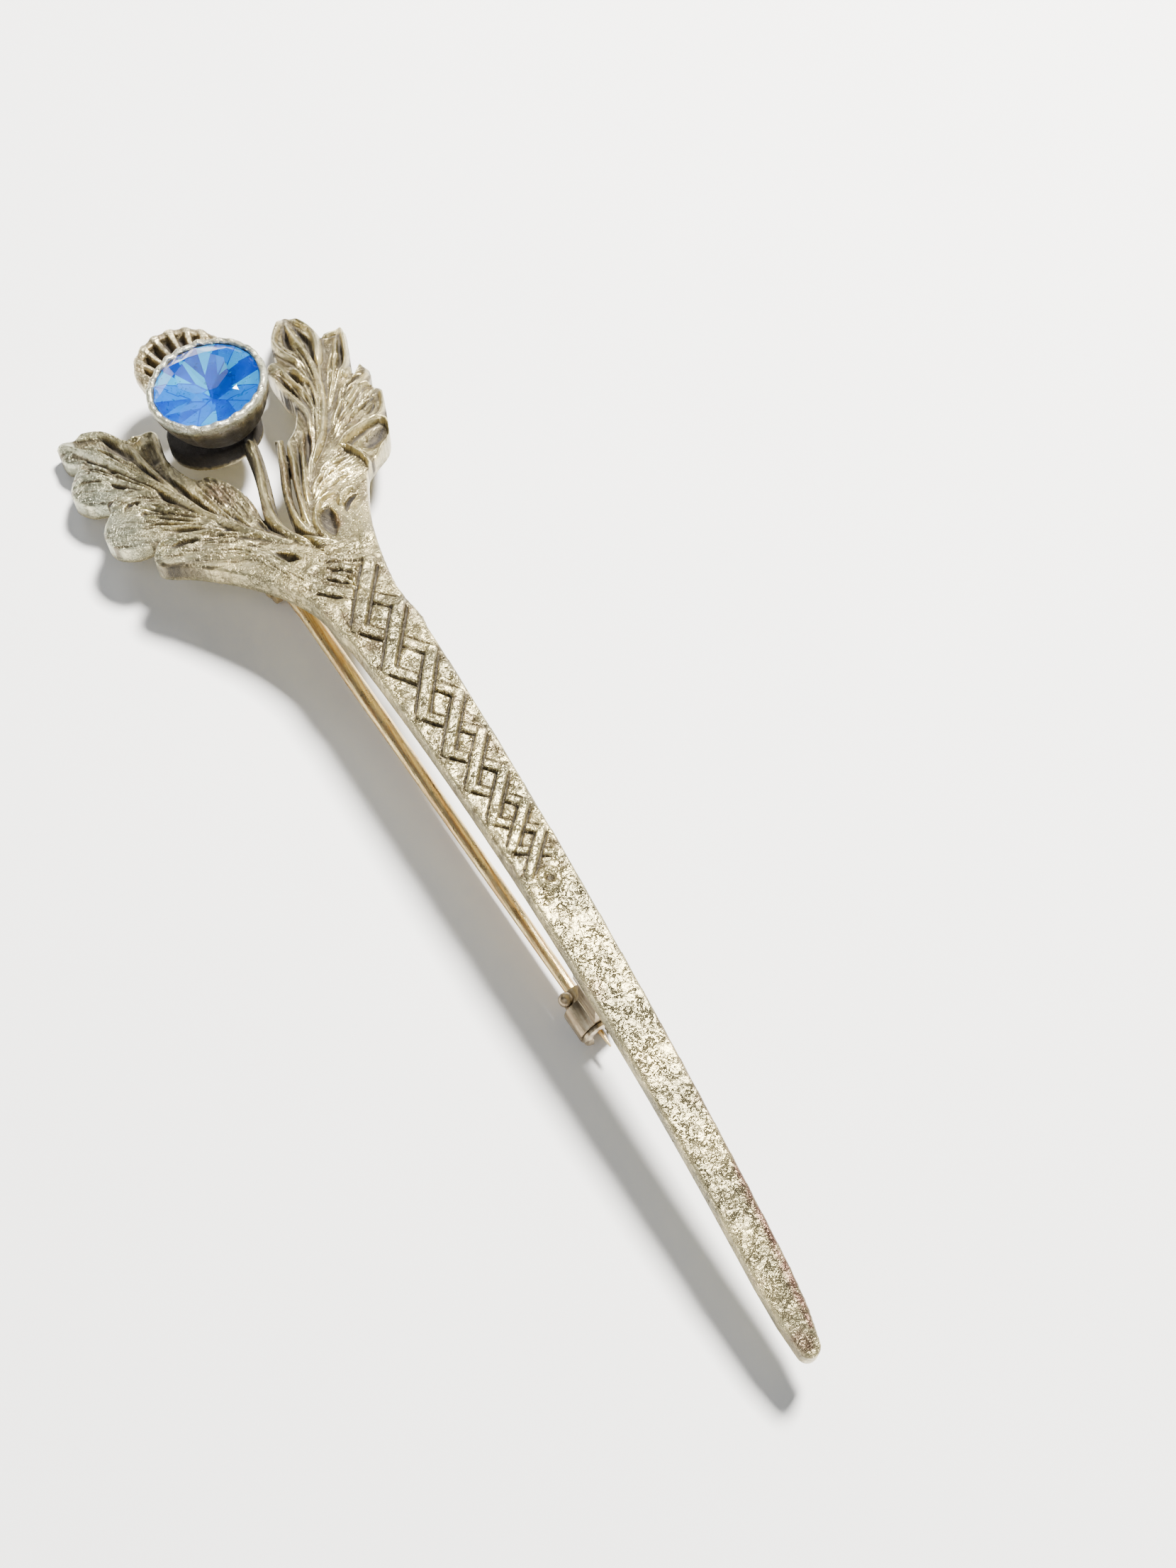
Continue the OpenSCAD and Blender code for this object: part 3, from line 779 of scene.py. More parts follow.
@dataclass(frozen=True)
class CastingPlan:
    """Outline and dished faces of the one-piece casting.

    Attributes:
        shaft_length: From the blunt tip to where the leaves spread.
        tip_half: Half the width a few millimetres behind the tip.
        tip_narrowing: How much each side narrows from there to the tip.
        tip_stretch: Length of that narrowing.
        root_half: Half the width at the leaves.
        bow: Sideways bow of the shaft's middle.
        thickness: Thickness of the casting.
        arch: Radius of the long arch.
        arch_top: Where the arch is highest, as a share of the shaft's length.
        crown: Radius of the crown across the leaves.
        crown_x: X of the crown's middle.
        height: Height of the front face at the top of the arch.
        main_stalk: Width of the stalk under the cup.
        side_stalk: Width of the stalk beside it.
    """

    shaft_length: float = 44.0
    tip_half: float = 0.85
    tip_narrowing: float = 0.3
    tip_stretch: float = 4.5
    root_half: float = 2.1
    bow: float = 0.45
    thickness: float = 1.3
    arch: float = 163.0
    arch_top: float = 0.75
    crown: float = 32.0
    crown_x: float = -0.7
    height: float = 6.9
    main_stalk: float = 0.8
    side_stalk: float = 0.5

    LEFT_LEAF = (
        (-10.6, 69.3), (-9.4, 68.9), (-7.9, 67.8), (-6.9, 65.9), (-6, 66.1), (-5.1, 65.5), (-5.4, 62.8),
        (-4.8, 60.3), (-3.9, 59.5), (-3.1, 58.2), (-2.6, 56.6), (-2.4, 54), (-1.2, 51), (0, 46), (0, 42),
        (-2, 43.6), (-2.6, 46.6), (-3.6, 48.9), (-5.1, 51.1), (-7.2, 53.5), (-8.8, 55), (-8.9, 56),
        (-8.3, 56.9), (-9.6, 57.4), (-10.6, 58.5), (-10.7, 60), (-9.6, 61.7), (-10.7, 62.8), (-11.3, 64.2),
        (-10.9, 65.5), (-10.1, 66.6), (-10.7, 67.7))
    RIGHT_LEAF = (
        (2.1, 42.5), (1.9, 45.9), (2.7, 50.6), (4.2, 54.7), (5.1, 55.8), (6.6, 57.1), (7.4, 58.7),
        (8.4, 61.7), (8.6, 62.5), (8, 63), (8.7, 64.2), (8.6, 65.2), (7.6, 64.6), (8.3, 66.6), (9.2, 69.8),
        (7.5, 69.3),
        (7.1, 70.8), (6.3, 72.5), (5.3, 71.5), (4.2, 69.5), (3.7, 67.6), (2.9, 67), (2.8, 64), (3, 62.6),
        (2.2, 60.8), (1.2, 59.6), (0.5, 57.6), (-0.2, 54.8), (-0.7, 52), (0, 46), (0, 42))
    MAIN_STALK = ((-0.5, 62.5), (-0.9, 59.4), (-1.5, 56.6), (-2, 54.6), (-2.1, 53.1), (-1.5, 51.3), (0, 48))
    SIDE_STALK = ((0.9, 60.2), (0.3, 58.1), (-0.4, 56), (-0.8, 54.1), (-0.9, 52.6), (-0.4, 50.5))
    LEFT_RIB = ((-1.5, 51.4), (-3.5, 53.7), (-5.2, 57), (-6.6, 60.6), (-8.2, 64.4), (-10.3, 69))
    RIGHT_RIB = ((0.9, 56), (2.3, 57.8), (4, 60.6), (5.1, 63.5), (5.6, 66), (5.8, 70.5))
    PAD = (-1.9, 63.9)
    PAD_RADIUS = 2.9

    @staticmethod
    def middle() -> Point:
        """Returns the middle of the brooch in plan, which is the frame's origin."""
        left = through(CastingPlan.LEFT_LEAF, closed=True)
        right = through(CastingPlan.RIGHT_LEAF, closed=True)
        return (left[:, 0].min() + right[:, 0].max()) / 2, right[:, 1].max() / 2

    def front(self, x: Array, y: Array) -> Array:
        """Returns the height of the plain front face."""
        arch = self.arch - np.sqrt(self.arch**2 - (y - self.arch_top * self.shaft_length) ** 2)
        crown = self.crown - np.sqrt(self.crown**2 - (x - self.crown_x) ** 2)
        return self.height - arch - crown

    def shaft_half(self, y: Array) -> Array:
        """Returns half the shaft's width at a place along it."""
        u = y / self.shaft_length
        narrowing = self.tip_narrowing * (1 - np.minimum(y / self.tip_stretch, 1)) ** 2
        return self.tip_half + (self.root_half - self.tip_half) * (0.35 * u + 0.65 * u * u) - narrowing

    def shaft_middle(self, y: Array) -> Array:
        """Returns the shaft's centre line at a place along it."""
        return self.bow * (1 - (2 * y / self.shaft_length - 1) ** 2)

    def shaft(self) -> Array:
        """Returns the shaft's outline."""
        e = self.tip_half - self.tip_narrowing
        turn = np.radians(np.arange(-180, 1, 15))
        tip = np.stack([self.shaft_middle(0) + e * np.cos(turn), e + e * np.sin(turn)], 1)
        y = np.linspace(2, self.shaft_length, 22)
        right = np.stack([self.shaft_middle(y) + self.shaft_half(y), y], 1)
        left = np.stack([self.shaft_middle(y) - self.shaft_half(y), y], 1)
        return np.vstack([tip, right, left[::-1]])

    def edge(self, x: Array, y: Array) -> Array:
        """Returns the distance to the outline, below zero inside."""
        parts = [
            through(self.LEFT_LEAF, closed=True), through(self.RIGHT_LEAF, closed=True), self.shaft(),
            strip(through(self.MAIN_STALK), self.main_stalk),
            strip(through(self.SIDE_STALK), self.side_stalk)]
        best = np.hypot(x - self.PAD[0], y - self.PAD[1]) - self.PAD_RADIUS
        for outline in parts:
            low, high = outline.min(0) - 0.6, outline.max(0) + 0.6
            near = (x > low[0]) & (x < high[0]) & (y > low[1]) & (y < high[1])
            best[near] = np.minimum(best[near], inside_by(x[near], y[near], outline))
        return best


RIDGE, GROOVE, SWELL, STAIN = Cut.RIDGE, Cut.GROOVE, Cut.SWELL, Cut.STAIN

LEFT_STROKES = (
    # puffed lobes
    Stroke(SWELL, ((-10.6, 64.2), (-9.9, 64)), 1.7, 0.18, (0, 0)),
    Stroke(SWELL, ((-9.8, 59.4), (-9.1, 59.2)), 2.1, 0.22, (0, 0)),
    Stroke(SWELL, ((-8.1, 55.8), (-7.2, 55.4)), 1.2, 0.16, (0, 0)),
    Stroke(SWELL, ((-10.3, 69.0), (-10.0, 68.3)), 0.8, 0.2, (0, 0)),
    # midrib and rolled upper edge
    Stroke(RIDGE, ((-10.3, 69), (-9.2, 66.7), (-8.2, 64.4), (-7.4, 62.5), (-6.6, 60.6), (-5.9, 58.8),
                   (-5.2, 57), (-4.4, 55.2), (-3.5, 53.7), (-2.5, 52.5), (-1.5, 51.4)), 0.34, 0.34),
    Stroke(RIDGE, ((-9.6, 68.9), (-8.6, 68.3), (-7.8, 67.6), (-7.2, 66.6), (-6.6, 65.9), (-6, 66)),
                   0.36, 0.38),
    Stroke(RIDGE, ((-7.3, 66.3), (-6.9, 65), (-6.7, 63.5), (-6.5, 62.1), (-6.2, 60.5), (-5.9, 59.4)),
                   0.26, 0.26),
    Stroke(RIDGE, ((-5.9, 66), (-5.3, 65.4), (-5.4, 64.3), (-5.6, 63), (-5.7, 61.8)), 0.24, 0.14),
    Stroke(RIDGE, ((-11.1, 64.9), (-10.2, 65.1), (-9.5, 64.3), (-8.7, 63.2), (-7.9, 62), (-7.1, 60.6)),
                   0.26, 0.24),
    Stroke(RIDGE, ((-9.7, 61.6), (-8.9, 61.5), (-8, 61.3), (-7.3, 60.7), (-6.7, 59.8)), 0.24, 0.22),
    Stroke(RIDGE, ((-8.8, 55.9), (-8.1, 56.4), (-7.3, 56.2), (-6.5, 55.8), (-5.6, 55.4), (-4.6, 54.9)),
                   0.22, 0.26),
    Stroke(RIDGE, ((-8.7, 55.4), (-8, 54.7), (-7, 54.2), (-5.8, 53.8), (-4.6, 53.4), (-3.4, 52.8)),
                   0.28, 0.26),
    Stroke(RIDGE, ((-2.5, 57.3), (-2.45, 56), (-2.4, 54.8), (-2.2, 53.6)), 0.2, 0.22),
    Stroke(RIDGE, ((-4.4, 60.1), (-3.6, 59.1), (-3, 57.9), (-2.8, 56.5), (-2.8, 55.2)), 0.2, 0.16),
    # hollows
    Stroke(SWELL, ((-8.5, 67.4), (-7.7, 65.6), (-7.3, 63.9)), 0.9, -0.26, (0.2, 0.2)),
    Stroke(SWELL, ((-6.0, 65.2), (-6.0, 63.9), (-6.1, 62.6)), 0.6, -0.16, (0.2, 0.2)),
    Stroke(SWELL, ((-9.7, 66.6), (-9.3, 65.3)), 0.7, -0.14, (0.2, 0.2)),
    Stroke(GROOVE, ((-9, 68.4), (-8.3, 67.9), (-7.9, 67.2), (-7.6, 66), (-7.2, 64.5)), 0.2, 0.2),
    Stroke(GROOVE, ((-9.3, 65.1), (-8.7, 64.3), (-8.1, 63.4)), 0.2, 0.26),
    Stroke(GROOVE, ((-9.2, 63.5), (-8.5, 62.6), (-7.9, 61.8)), 0.24, 0.36),
    Stroke(GROOVE, ((-9.9, 62), (-9.4, 61.9), (-8.9, 61.9)), 0.2, 0.24),
    Stroke(GROOVE, ((-9.2, 60.4), (-8.7, 60.8), (-8.2, 60.6), (-8.5, 60.3)), 0.26, 0.36),
    Stroke(GROOVE, ((-8.7, 59.6), (-8, 59.3), (-7.4, 58.8), (-6.9, 58.1)), 0.3, 0.34),
    Stroke(GROOVE, ((-8.1, 56.05), (-7.5, 55.7), (-6.7, 55.4), (-6, 55.1)), 0.3, 0.38),
    Stroke(GROOVE, ((-6.1, 55.2), (-5.4, 54.9), (-4.7, 54.4)), 0.16, 0.2),
    Stroke(GROOVE, ((-7.1, 60.8), (-6.7, 59.8), (-6.2, 58.6)), 0.18, 0.26),
    Stroke(GROOVE, ((-5.9, 61.4), (-5.7, 60), (-5.4, 58.6), (-5.1, 57.4), (-4.7, 56.2), (-4.3, 55.2)),
                    0.3, 0.4),
    Stroke(GROOVE, ((-8.2, 58.6), (-7.2, 57.9), (-6.2, 56.9), (-5.3, 56)), 0.15, 0.2),
    Stroke(GROOVE, ((-7.6, 57.2), (-6.5, 56.4), (-5.5, 55.6)), 0.15, 0.2),
    Stroke(GROOVE, ((-6.9, 54.6), (-5.8, 54.1), (-4.8, 53.7), (-3.9, 53.2)), 0.15, 0.18),
    Stroke(GROOVE, ((-3.2, 52.1), (-2.8, 51.4), (-2.3, 50.7), (-1.8, 50.3)), 0.42, 0.6, (0.6, 0.3)),
    Stroke(GROOVE, ((-2.9, 54.8), (-2.75, 53.9), (-2.5, 53.1)), 0.16, 0.24),
    Stroke(STAIN, ((-4.1, 58.6), (-3.6, 56.8)), 1.2, 0.75),
    Stroke(STAIN, ((-2.6, 56.5), (-2.4, 54.5)), 0.5, 0.6),
)

RIGHT_STROKES = (
    # top lobe
    Stroke(RIDGE, ((6.1, 72), (5.8, 70.5), (5.7, 69), (5.75, 67.5), (5.6, 66), (5.4, 65), (5.1, 63.5),
                   (4.6, 62), (4, 60.6), (3.2, 59), (2.3, 57.8), (1.5, 56.9), (0.9, 56)), 0.28, 0.36),
    Stroke(RIDGE, ((6, 72.3), (5.2, 71.2), (4.5, 70), (4.3, 69), (4.5, 67.9), (4.9, 66.9), (5.2, 66)),
                   0.34, 0.36),
    Stroke(RIDGE, ((6.4, 72.2), (6.9, 71.1), (7.15, 70), (7, 68.9), (6.7, 67.9), (6.3, 66.9),
                   (5.9, 65.9)), 0.36, 0.38),
    Stroke(GROOVE, ((5.7, 71.2), (5.35, 70), (5.15, 69.1), (5.3, 68.1)), 0.3, 0.45, (0.3, 0.3)),
    Stroke(GROOVE, ((6.25, 71.6), (6.4, 70.3), (6.45, 69.2), (6.25, 68.2), (6.05, 67.2), (5.85, 66.3)),
                    0.3, 0.5, (0.3, 0.3)),
    Stroke(GROOVE, ((4.75, 69.1), (4.75, 68.3), (5.15, 67.4)), 0.16, 0.2),
    # upper right lobe
    Stroke(RIDGE, ((9.2, 69.9), (8.6, 69.4), (8, 69.3), (7.5, 69)), 0.26, 0.24),
    Stroke(RIDGE, ((9.1, 69.7), (8.7, 68.4), (8.3, 67.2), (7.9, 66.1), (7.4, 65.2), (6.8, 64.6),
                   (6.2, 64)), 0.28, 0.34),
    Stroke(RIDGE, ((8.4, 69), (7.8, 67.6), (7.1, 66), (6.4, 64.6), (5.7, 63.3), (5, 62)), 0.24, 0.24),
    Stroke(GROOVE, ((8.3, 68.5), (7.95, 67.3), (7.6, 66.4), (7.2, 65.6), (6.7, 64.9)),
                    0.22, 0.42, (0.3, 0.3)),
    # side lobes, each rolled over the next
    Stroke(RIDGE, ((8.6, 65.2), (8, 65), (7.4, 64.7), (6.8, 64.2)), 0.28, 0.34),
    Stroke(RIDGE, ((8.6, 64.4), (8, 63.7), (7.4, 63.3), (6.7, 62.8)), 0.2, 0.2),
    Stroke(GROOVE, ((8.3, 64.4), (7.6, 64.1), (7, 63.5), (6.4, 62.9)), 0.26, 0.38, (0.3, 0.3)),
    Stroke(RIDGE, ((8.6, 62.8), (7.9, 63), (7.2, 62.8), (6.5, 62.2), (5.7, 61.4)), 0.26, 0.34),
    Stroke(RIDGE, ((8.5, 62.3), (8.1, 61), (7.6, 60), (7, 59.4), (6.3, 59)), 0.26, 0.34),
    Stroke(SWELL, ((7.8, 62), (7, 61.2), (6.3, 60.6)), 0.7, -0.22, (0.2, 0.2)),
    Stroke(GROOVE, ((7.6, 61.3), (7.1, 60.5), (6.4, 60)), 0.16, 0.24),
    Stroke(GROOVE, ((7.2, 62.1), (6.3, 61.4), (5.5, 60.5)), 0.16, 0.2),
    Stroke(RIDGE, ((3.4, 57.6), (4.2, 58.1), (5.1, 58.6), (6.1, 59), (7, 59.15), (7.4, 58.6), (7.2, 57.8),
                   (6.6, 57), (5.8, 56.3), (5.2, 55.8)), 0.26, 0.46),
    Stroke(SWELL, ((6.5, 58.1), (5.7, 57.5)), 0.95, -0.42, (0, 0)),
    Stroke(GROOVE, ((6.8, 58.3), (6, 57.9)), 0.5, 0.12, (0, 0)),
    Stroke(RIDGE, ((4, 57.9), (4.35, 57.1), (4.65, 56.4), (4.75, 55.7), (4.6, 55)), 0.2, 0.36),
    Stroke(GROOVE, ((4.35, 57.8), (4.7, 57), (5, 56.3)), 0.16, 0.26),
    Stroke(GROOVE, ((6.4, 58.85), (5.3, 58.3), (4.4, 57.7), (3.4, 57.3)), 0.14, 0.2),
    Stroke(SWELL, ((3.6, 57.1), (3.4, 56.6)), 0.8, -0.2, (0, 0)),
    # base of the leaf
    Stroke(RIDGE, ((0.2, 50.4), (-0.1, 51.4), (0, 52.5), (0.6, 53.6), (1.4, 54.1), (2.2, 54.2)), 0.2, 0.26),
    Stroke(GROOVE, ((0.5, 50.7), (0.6, 51.8), (0.8, 52.8), (1.3, 53.6)), 0.62, 0.6, (0.45, 0.35)),
    Stroke(RIDGE, ((3.2, 53.8), (2.6, 53.9), (2, 53.5), (1.8, 52.9)), 0.22, 0.3),
    Stroke(GROOVE, ((3.2, 53.5), (2.6, 53.3), (2.05, 52.8), (1.8, 52.2)), 0.2, 0.36, (0.3, 0.2)),
    Stroke(SWELL, ((3.2, 53.2), (2.4, 51.4), (1.9, 49.4)), 0.8, 0.16, (0.2, 0.2)),
    # inner edge by the cup
    Stroke(SWELL, ((3.4, 67.2), (3.5, 66.6)), 0.7, 0.3, (0, 0)),
    Stroke(RIDGE, ((2.9, 66.4), (2.9, 64.8), (3.1, 63.3), (3.35, 61.8), (3.1, 60.4), (2.5, 59)), 0.24, 0.3),
    Stroke(RIDGE, ((3.6, 66.8), (3.75, 65.6), (3.9, 64.3), (4, 63), (3.9, 61.8), (3.5, 60.4)), 0.2, 0.26),
    Stroke(RIDGE, ((4.3, 66.8), (4.55, 65.5), (4.7, 64.2), (4.6, 63), (4.4, 61.7)), 0.2, 0.24),
    Stroke(GROOVE, ((3.2, 66.3), (3.35, 65), (3.5, 63.6), (3.55, 62.4)), 0.2, 0.36),
    Stroke(GROOVE, ((3.95, 66.5), (4.15, 65.4), (4.35, 64.2)), 0.22, 0.42, (0.3, 0.3)),
    Stroke(RIDGE, ((1.4, 59.9), (1.1, 58.9), (0.8, 57.6), (0.35, 56.3), (0, 55), (-0.3, 53.6),
                   (-0.45, 52.4)), 0.24, 0.24),
    Stroke(RIDGE, ((2.5, 60.3), (1.95, 59), (1.5, 57.8), (1, 56.5), (0.55, 55.2), (0.15, 53.9)),
                   0.22, 0.24),
    Stroke(GROOVE, ((2.9, 60.4), (2.3, 59), (1.7, 57.6), (1.2, 56.5)), 0.22, 0.34),
    Stroke(GROOVE, ((1.75, 59.5), (1.35, 58.2), (0.9, 56.8), (0.4, 55.4)), 0.16, 0.26),
    # stalks and the slot between them
    Stroke(RIDGE, ((-0.7, 61.2), (-0.95, 59.4), (-1.3, 57.8), (-1.75, 56.2), (-2, 54.8), (-2.05, 53.6),
                   (-1.75, 52.4), (-1.2, 51.5), (-0.4, 50.9), (0.4, 50.5)), 0.34, 0.3, (0.05, 0.1)),
    Stroke(RIDGE, ((0.9, 60), (0.45, 58.8), (0.1, 57.5), (-0.35, 56.1), (-0.75, 54.5), (-0.85, 53.2),
                   (-0.55, 52)), 0.24, 0.22, (0.05, 0.2)),
    Stroke(GROOVE, ((-0.7, 57.4), (-1.05, 56), (-1.35, 54.8), (-1.45, 53.6), (-1.15, 52.5), (-0.6, 51.7),
                    (0, 51.2)), 0.26, 0.62),
    Stroke(GROOVE, ((0.35, 57.2), (-0.05, 55.8), (-0.4, 54.5), (-0.6, 53.2)), 0.14, 0.3),
    Stroke(GROOVE, ((-2.35, 55.8), (-2.5, 54.6), (-2.4, 53.4), (-2, 52.4)), 0.14, 0.3),
    # brown stains, here and along the shaft
    Stroke(STAIN, ((0.9, 52.8), (0.7, 51.4)), 0.9, 1.0),
    Stroke(STAIN, ((0.4, 58), (-0.6, 54)), 0.7, 0.7),
    Stroke(STAIN, ((2.6, 59.6), (1.8, 57.8)), 0.6, 0.7),
    Stroke(STAIN, ((6.4, 58.2), (6, 57.8)), 0.8, 0.8),
    Stroke(STAIN, ((3.9, 54.4), (3, 52.4)), 0.5, 0.35),
    Stroke(STAIN, ((1.6, 17), (1.4, 12), (1.2, 8.5)), 0.3, 0.55),
    Stroke(STAIN, ((1.15, 9), (1.0, 6), (0.8, 3.4), (0.5, 1.2)), 0.5, 1.0),
    Stroke(STAIN, ((-0.4, 1.4), (0, 0.4)), 0.8, 0.7),
    Stroke(STAIN, ((0.9, 38), (1.7, 33)), 0.5, 0.4),
    Stroke(STAIN, ((-1.6, 45.4), (-0.9, 42)), 0.6, 0.35),
)

FANS = (
    Fan(((-8.9, 68.1), (-7.9, 66.2), (-7.3, 64.2), (-6.9, 62.4), (-6.3, 60.2)),
        ((-10.2, 68.6), (-9.2, 66.2), (-8.1, 63.7), (-7.2, 61.7), (-6.3, 59.6)), 6),
    Fan(((-9.9, 67.3), (-8.9, 65.1), (-8.1, 63.2), (-7.3, 61.5), (-6.5, 59.8)),
        ((-10.7, 64.6), (-9.8, 64), (-8.9, 62.8), (-8, 61.5), (-7.1, 60)), 8),
    Fan(((-8.9, 61.1), (-8.1, 60.5), (-7.3, 59.7), (-6.5, 58.5), (-5.6, 57.1), (-4.7, 55.8)),
        ((-9.3, 58.1), (-8.5, 57.9), (-7.5, 57.3), (-6.4, 56.5), (-5.3, 55.7), (-4.3, 54.9)), 11),
    Fan(((-7.9, 56.2), (-7, 55.9), (-6, 55.4), (-5, 54.9), (-4.1, 54.3), (-3.2, 53.5)),
        ((-8.1, 55), (-7.1, 54), (-5.9, 53.1), (-4.9, 52.4), (-4, 51.6), (-3.2, 50.6)), 10, 0.11, 0.15),
    Fan(((-4.9, 60.2), (-4.8, 58.9), (-4.6, 57.6), (-4.3, 56.3), (-3.9, 55), (-3.4, 53.9)),
        ((-3.7, 59.3), (-3.2, 58.1), (-3, 56.9), (-2.9, 55.7), (-2.9, 54.6), (-2.8, 53.6)), 8, 0.11, 0.15),
    Fan(((4.4, 69.2), (4.6, 67.4), (4.8, 65.6), (4.6, 63.8), (4.2, 62.1), (3.4, 60.2), (2.3, 58.3)),
        ((6.9, 69.6), (6.4, 67.4), (5.8, 65.4), (5.2, 63.6), (4.6, 62), (3.8, 60.2), (2.6, 58.3)), 6),
    Fan(((8.2, 69), (7.4, 67.6), (6.6, 66), (5.9, 64.4), (5.2, 62.8), (4.3, 61)),
        ((8.6, 67.6), (8, 66.2), (7.1, 64.9), (6.2, 63.7), (5.4, 62.3), (4.4, 60.8)), 5),
    Fan(((8.1, 64.9), (7, 64), (6.1, 62.9), (5.2, 61.5), (4.2, 60)),
        ((8.1, 61.8), (7, 60.9), (5.9, 60.1), (4.8, 59.2), (3.8, 58.3)), 10),
    Fan(((4.2, 57.9), (3.3, 57.3), (2.4, 56.7), (1.5, 55.9), (0.7, 54.9)),
        ((4.3, 54.9), (3.4, 54.9), (2.5, 54.8), (1.5, 54.4), (0.5, 53.6)), 10),
    Fan(((3.1, 66.2), (3.1, 64.6), (3.3, 63.1), (3.4, 61.6), (3, 60), (2.3, 58.3), (1.4, 56.6), (0.6, 55)),
        ((4.7, 66.2), (4.8, 64.6), (4.5, 63.1), (4.1, 61.8), (3.4, 60.2), (2.6, 58.6), (1.7, 56.9),
         (0.8, 55.3)), 6),
    Fan(((-4.2, 52.2), (-3.7, 50.8), (-3, 49.2), (-2.4, 47.8)),
        ((-3.2, 51.9), (-2.7, 50.6), (-2.1, 49.2), (-1.5, 48)), 5, 0.11, 0.11),
)


@dataclass
class Fretwork:
    """Two flat strands woven down the upper shaft: each long bar lies over the other strand's return.

    Attributes:
        crossings: Centre of each long bar, from the leaves down.
        slant: Half a bar's reach across the shaft, as a share of the shaft's half width.
        bar: Half the width of a strand at the first crossing.
        rise: Height of a long bar.
        lower: Height of a return below it.
        rungs: Short bars above the first crossing.
        uneven: How deep the grooves beside the strands are over the grid, as a share.
    """

    crossings: Line = ((0.05, 46.1), (0.2, 42.6), (0.35, 38.9), (0.4, 35.9), (0.4, 33.3), (0.4, 30.9),
                       (0.45, 28.8), (0.5, 27.1))
    rungs: tuple[Line, ...] = (((-0.7, 48.9), (0.3, 48.1)), ((-1.2, 48.3), (-0.1, 47.3)), ((-0.9, 49.6),
                               (1.4, 48.5)))
    slant: float = 0.62
    bar: float = 0.40
    rise: float = 0.26
    lower: float = 0.15
    uneven: Array = field(init=False)

    def ends(self, plan: CastingPlan, i: int) -> tuple[Array, Array]:
        """Returns the upper right and lower left end of a long bar."""
        x, y = self.crossings[i]
        above = self.crossings[max(i - 1, 0)][1]
        below = self.crossings[min(i + 1, len(self.crossings) - 1)][1]
        tall = (0.27 if 0 < i < len(self.crossings) - 1 else 0.58) * (above - below)
        wide = self.slant * float(plan.shaft_half(np.array(min(y, plan.shaft_length))))
        return np.array([x + wide, y + tall]), np.array([x - wide, y - tall])

    def lay(self, relief: Relief, base: Array, line: Line, half: float, height: float) -> Array:
        """Lays one strand over what is there, with a groove on both sides.

        Args:
            relief: The grid that it lies on.
            base: The heights so far.
            line: The strand's centre line.
            half: Half its width.
            height: The height of its flat top.

        Returns:
            The new heights.
        """
        points = np.asarray(line, float)
        part = relief.near(points, 2 * half)
        gap, along = away_from(relief.x[part], relief.y[part], points)
        below = base[part]
        strand = height * (1 - smooth_step(0.72 * half, half, gap))
        joint = (along < 0.16) | (along > 0.84)
        strand = np.where(joint, np.maximum(strand, below), strand)
        ditch = -0.24 * self.uneven[part] * (1 - smooth_step(0, 0.36 * half, np.abs(gap - 1.16 * half)))
        open_side = (along > 0.04) & (along < 0.96) & (below < 0.1 + ~joint)
        beside = np.where(open_side, np.minimum(below, ditch), below)
        out = base.copy()
        out[part] = np.where(gap < half, strand, np.where(gap < 1.5 * half, beside, below))
        return out

    def heights(self, relief: Relief, plan: CastingPlan) -> Array:
        """Returns the fretwork's height over the grid."""
        base = np.zeros(relief.x.shape)
        rng = np.random.default_rng(SEED + 1)
        wide = softened(rng.normal(0, 1, base.shape), np.ones(base.shape, bool), 7)
        self.uneven = np.clip(0.75 + 3.2 * wide, 0.15, 1.3)
        count = len(self.crossings)
        span = self.crossings[0][1] - self.crossings[-1][1]
        bars = [self.ends(plan, i) for i in range(count)]
        left_start = np.array([-2.1, 47.9])
        for i in range(count):
            half = self.bar * (0.62 + 0.38 * (self.crossings[i][1] - self.crossings[-1][1]) / span)
            start = bars[i - 1][1] if i else left_start
            stop = bars[i + 1][0] if i + 1 < count else bars[i][0] - (0.1, 1.4)
            base = self.lay(relief, base, (start, (start + stop) / 2, stop), 0.82 * half, self.lower)
        for i, (high, low) in enumerate(bars):
            half = self.bar * (0.62 + 0.38 * (self.crossings[i][1] - self.crossings[-1][1]) / span)
            base = self.lay(relief, base, (high, low), half, self.rise)
        for rung in self.rungs:
            base = self.lay(relief, base, rung, 0.2, 0.2)
        band = (relief.y > 24.5) & (relief.y < 50) & (np.abs(relief.x - plan.shaft_middle(relief.y)) < 1.7)
        lumps = softened(rng.normal(0, 1, base.shape), np.ones(base.shape, bool), 3)
        base += np.where(band, 0.34 * lumps * (1 - 0.5 * (base > 0.1)), 0)
        ring = np.hypot(relief.x - 0.45, (relief.y - 25.5) * 0.85)
        circle = 1 - smooth_step(0.1, 0.2, np.abs(ring - 0.42))
        base += 0.14 * circle - 0.14 * (1 - smooth_step(0.05, 0.26, ring))
        return base


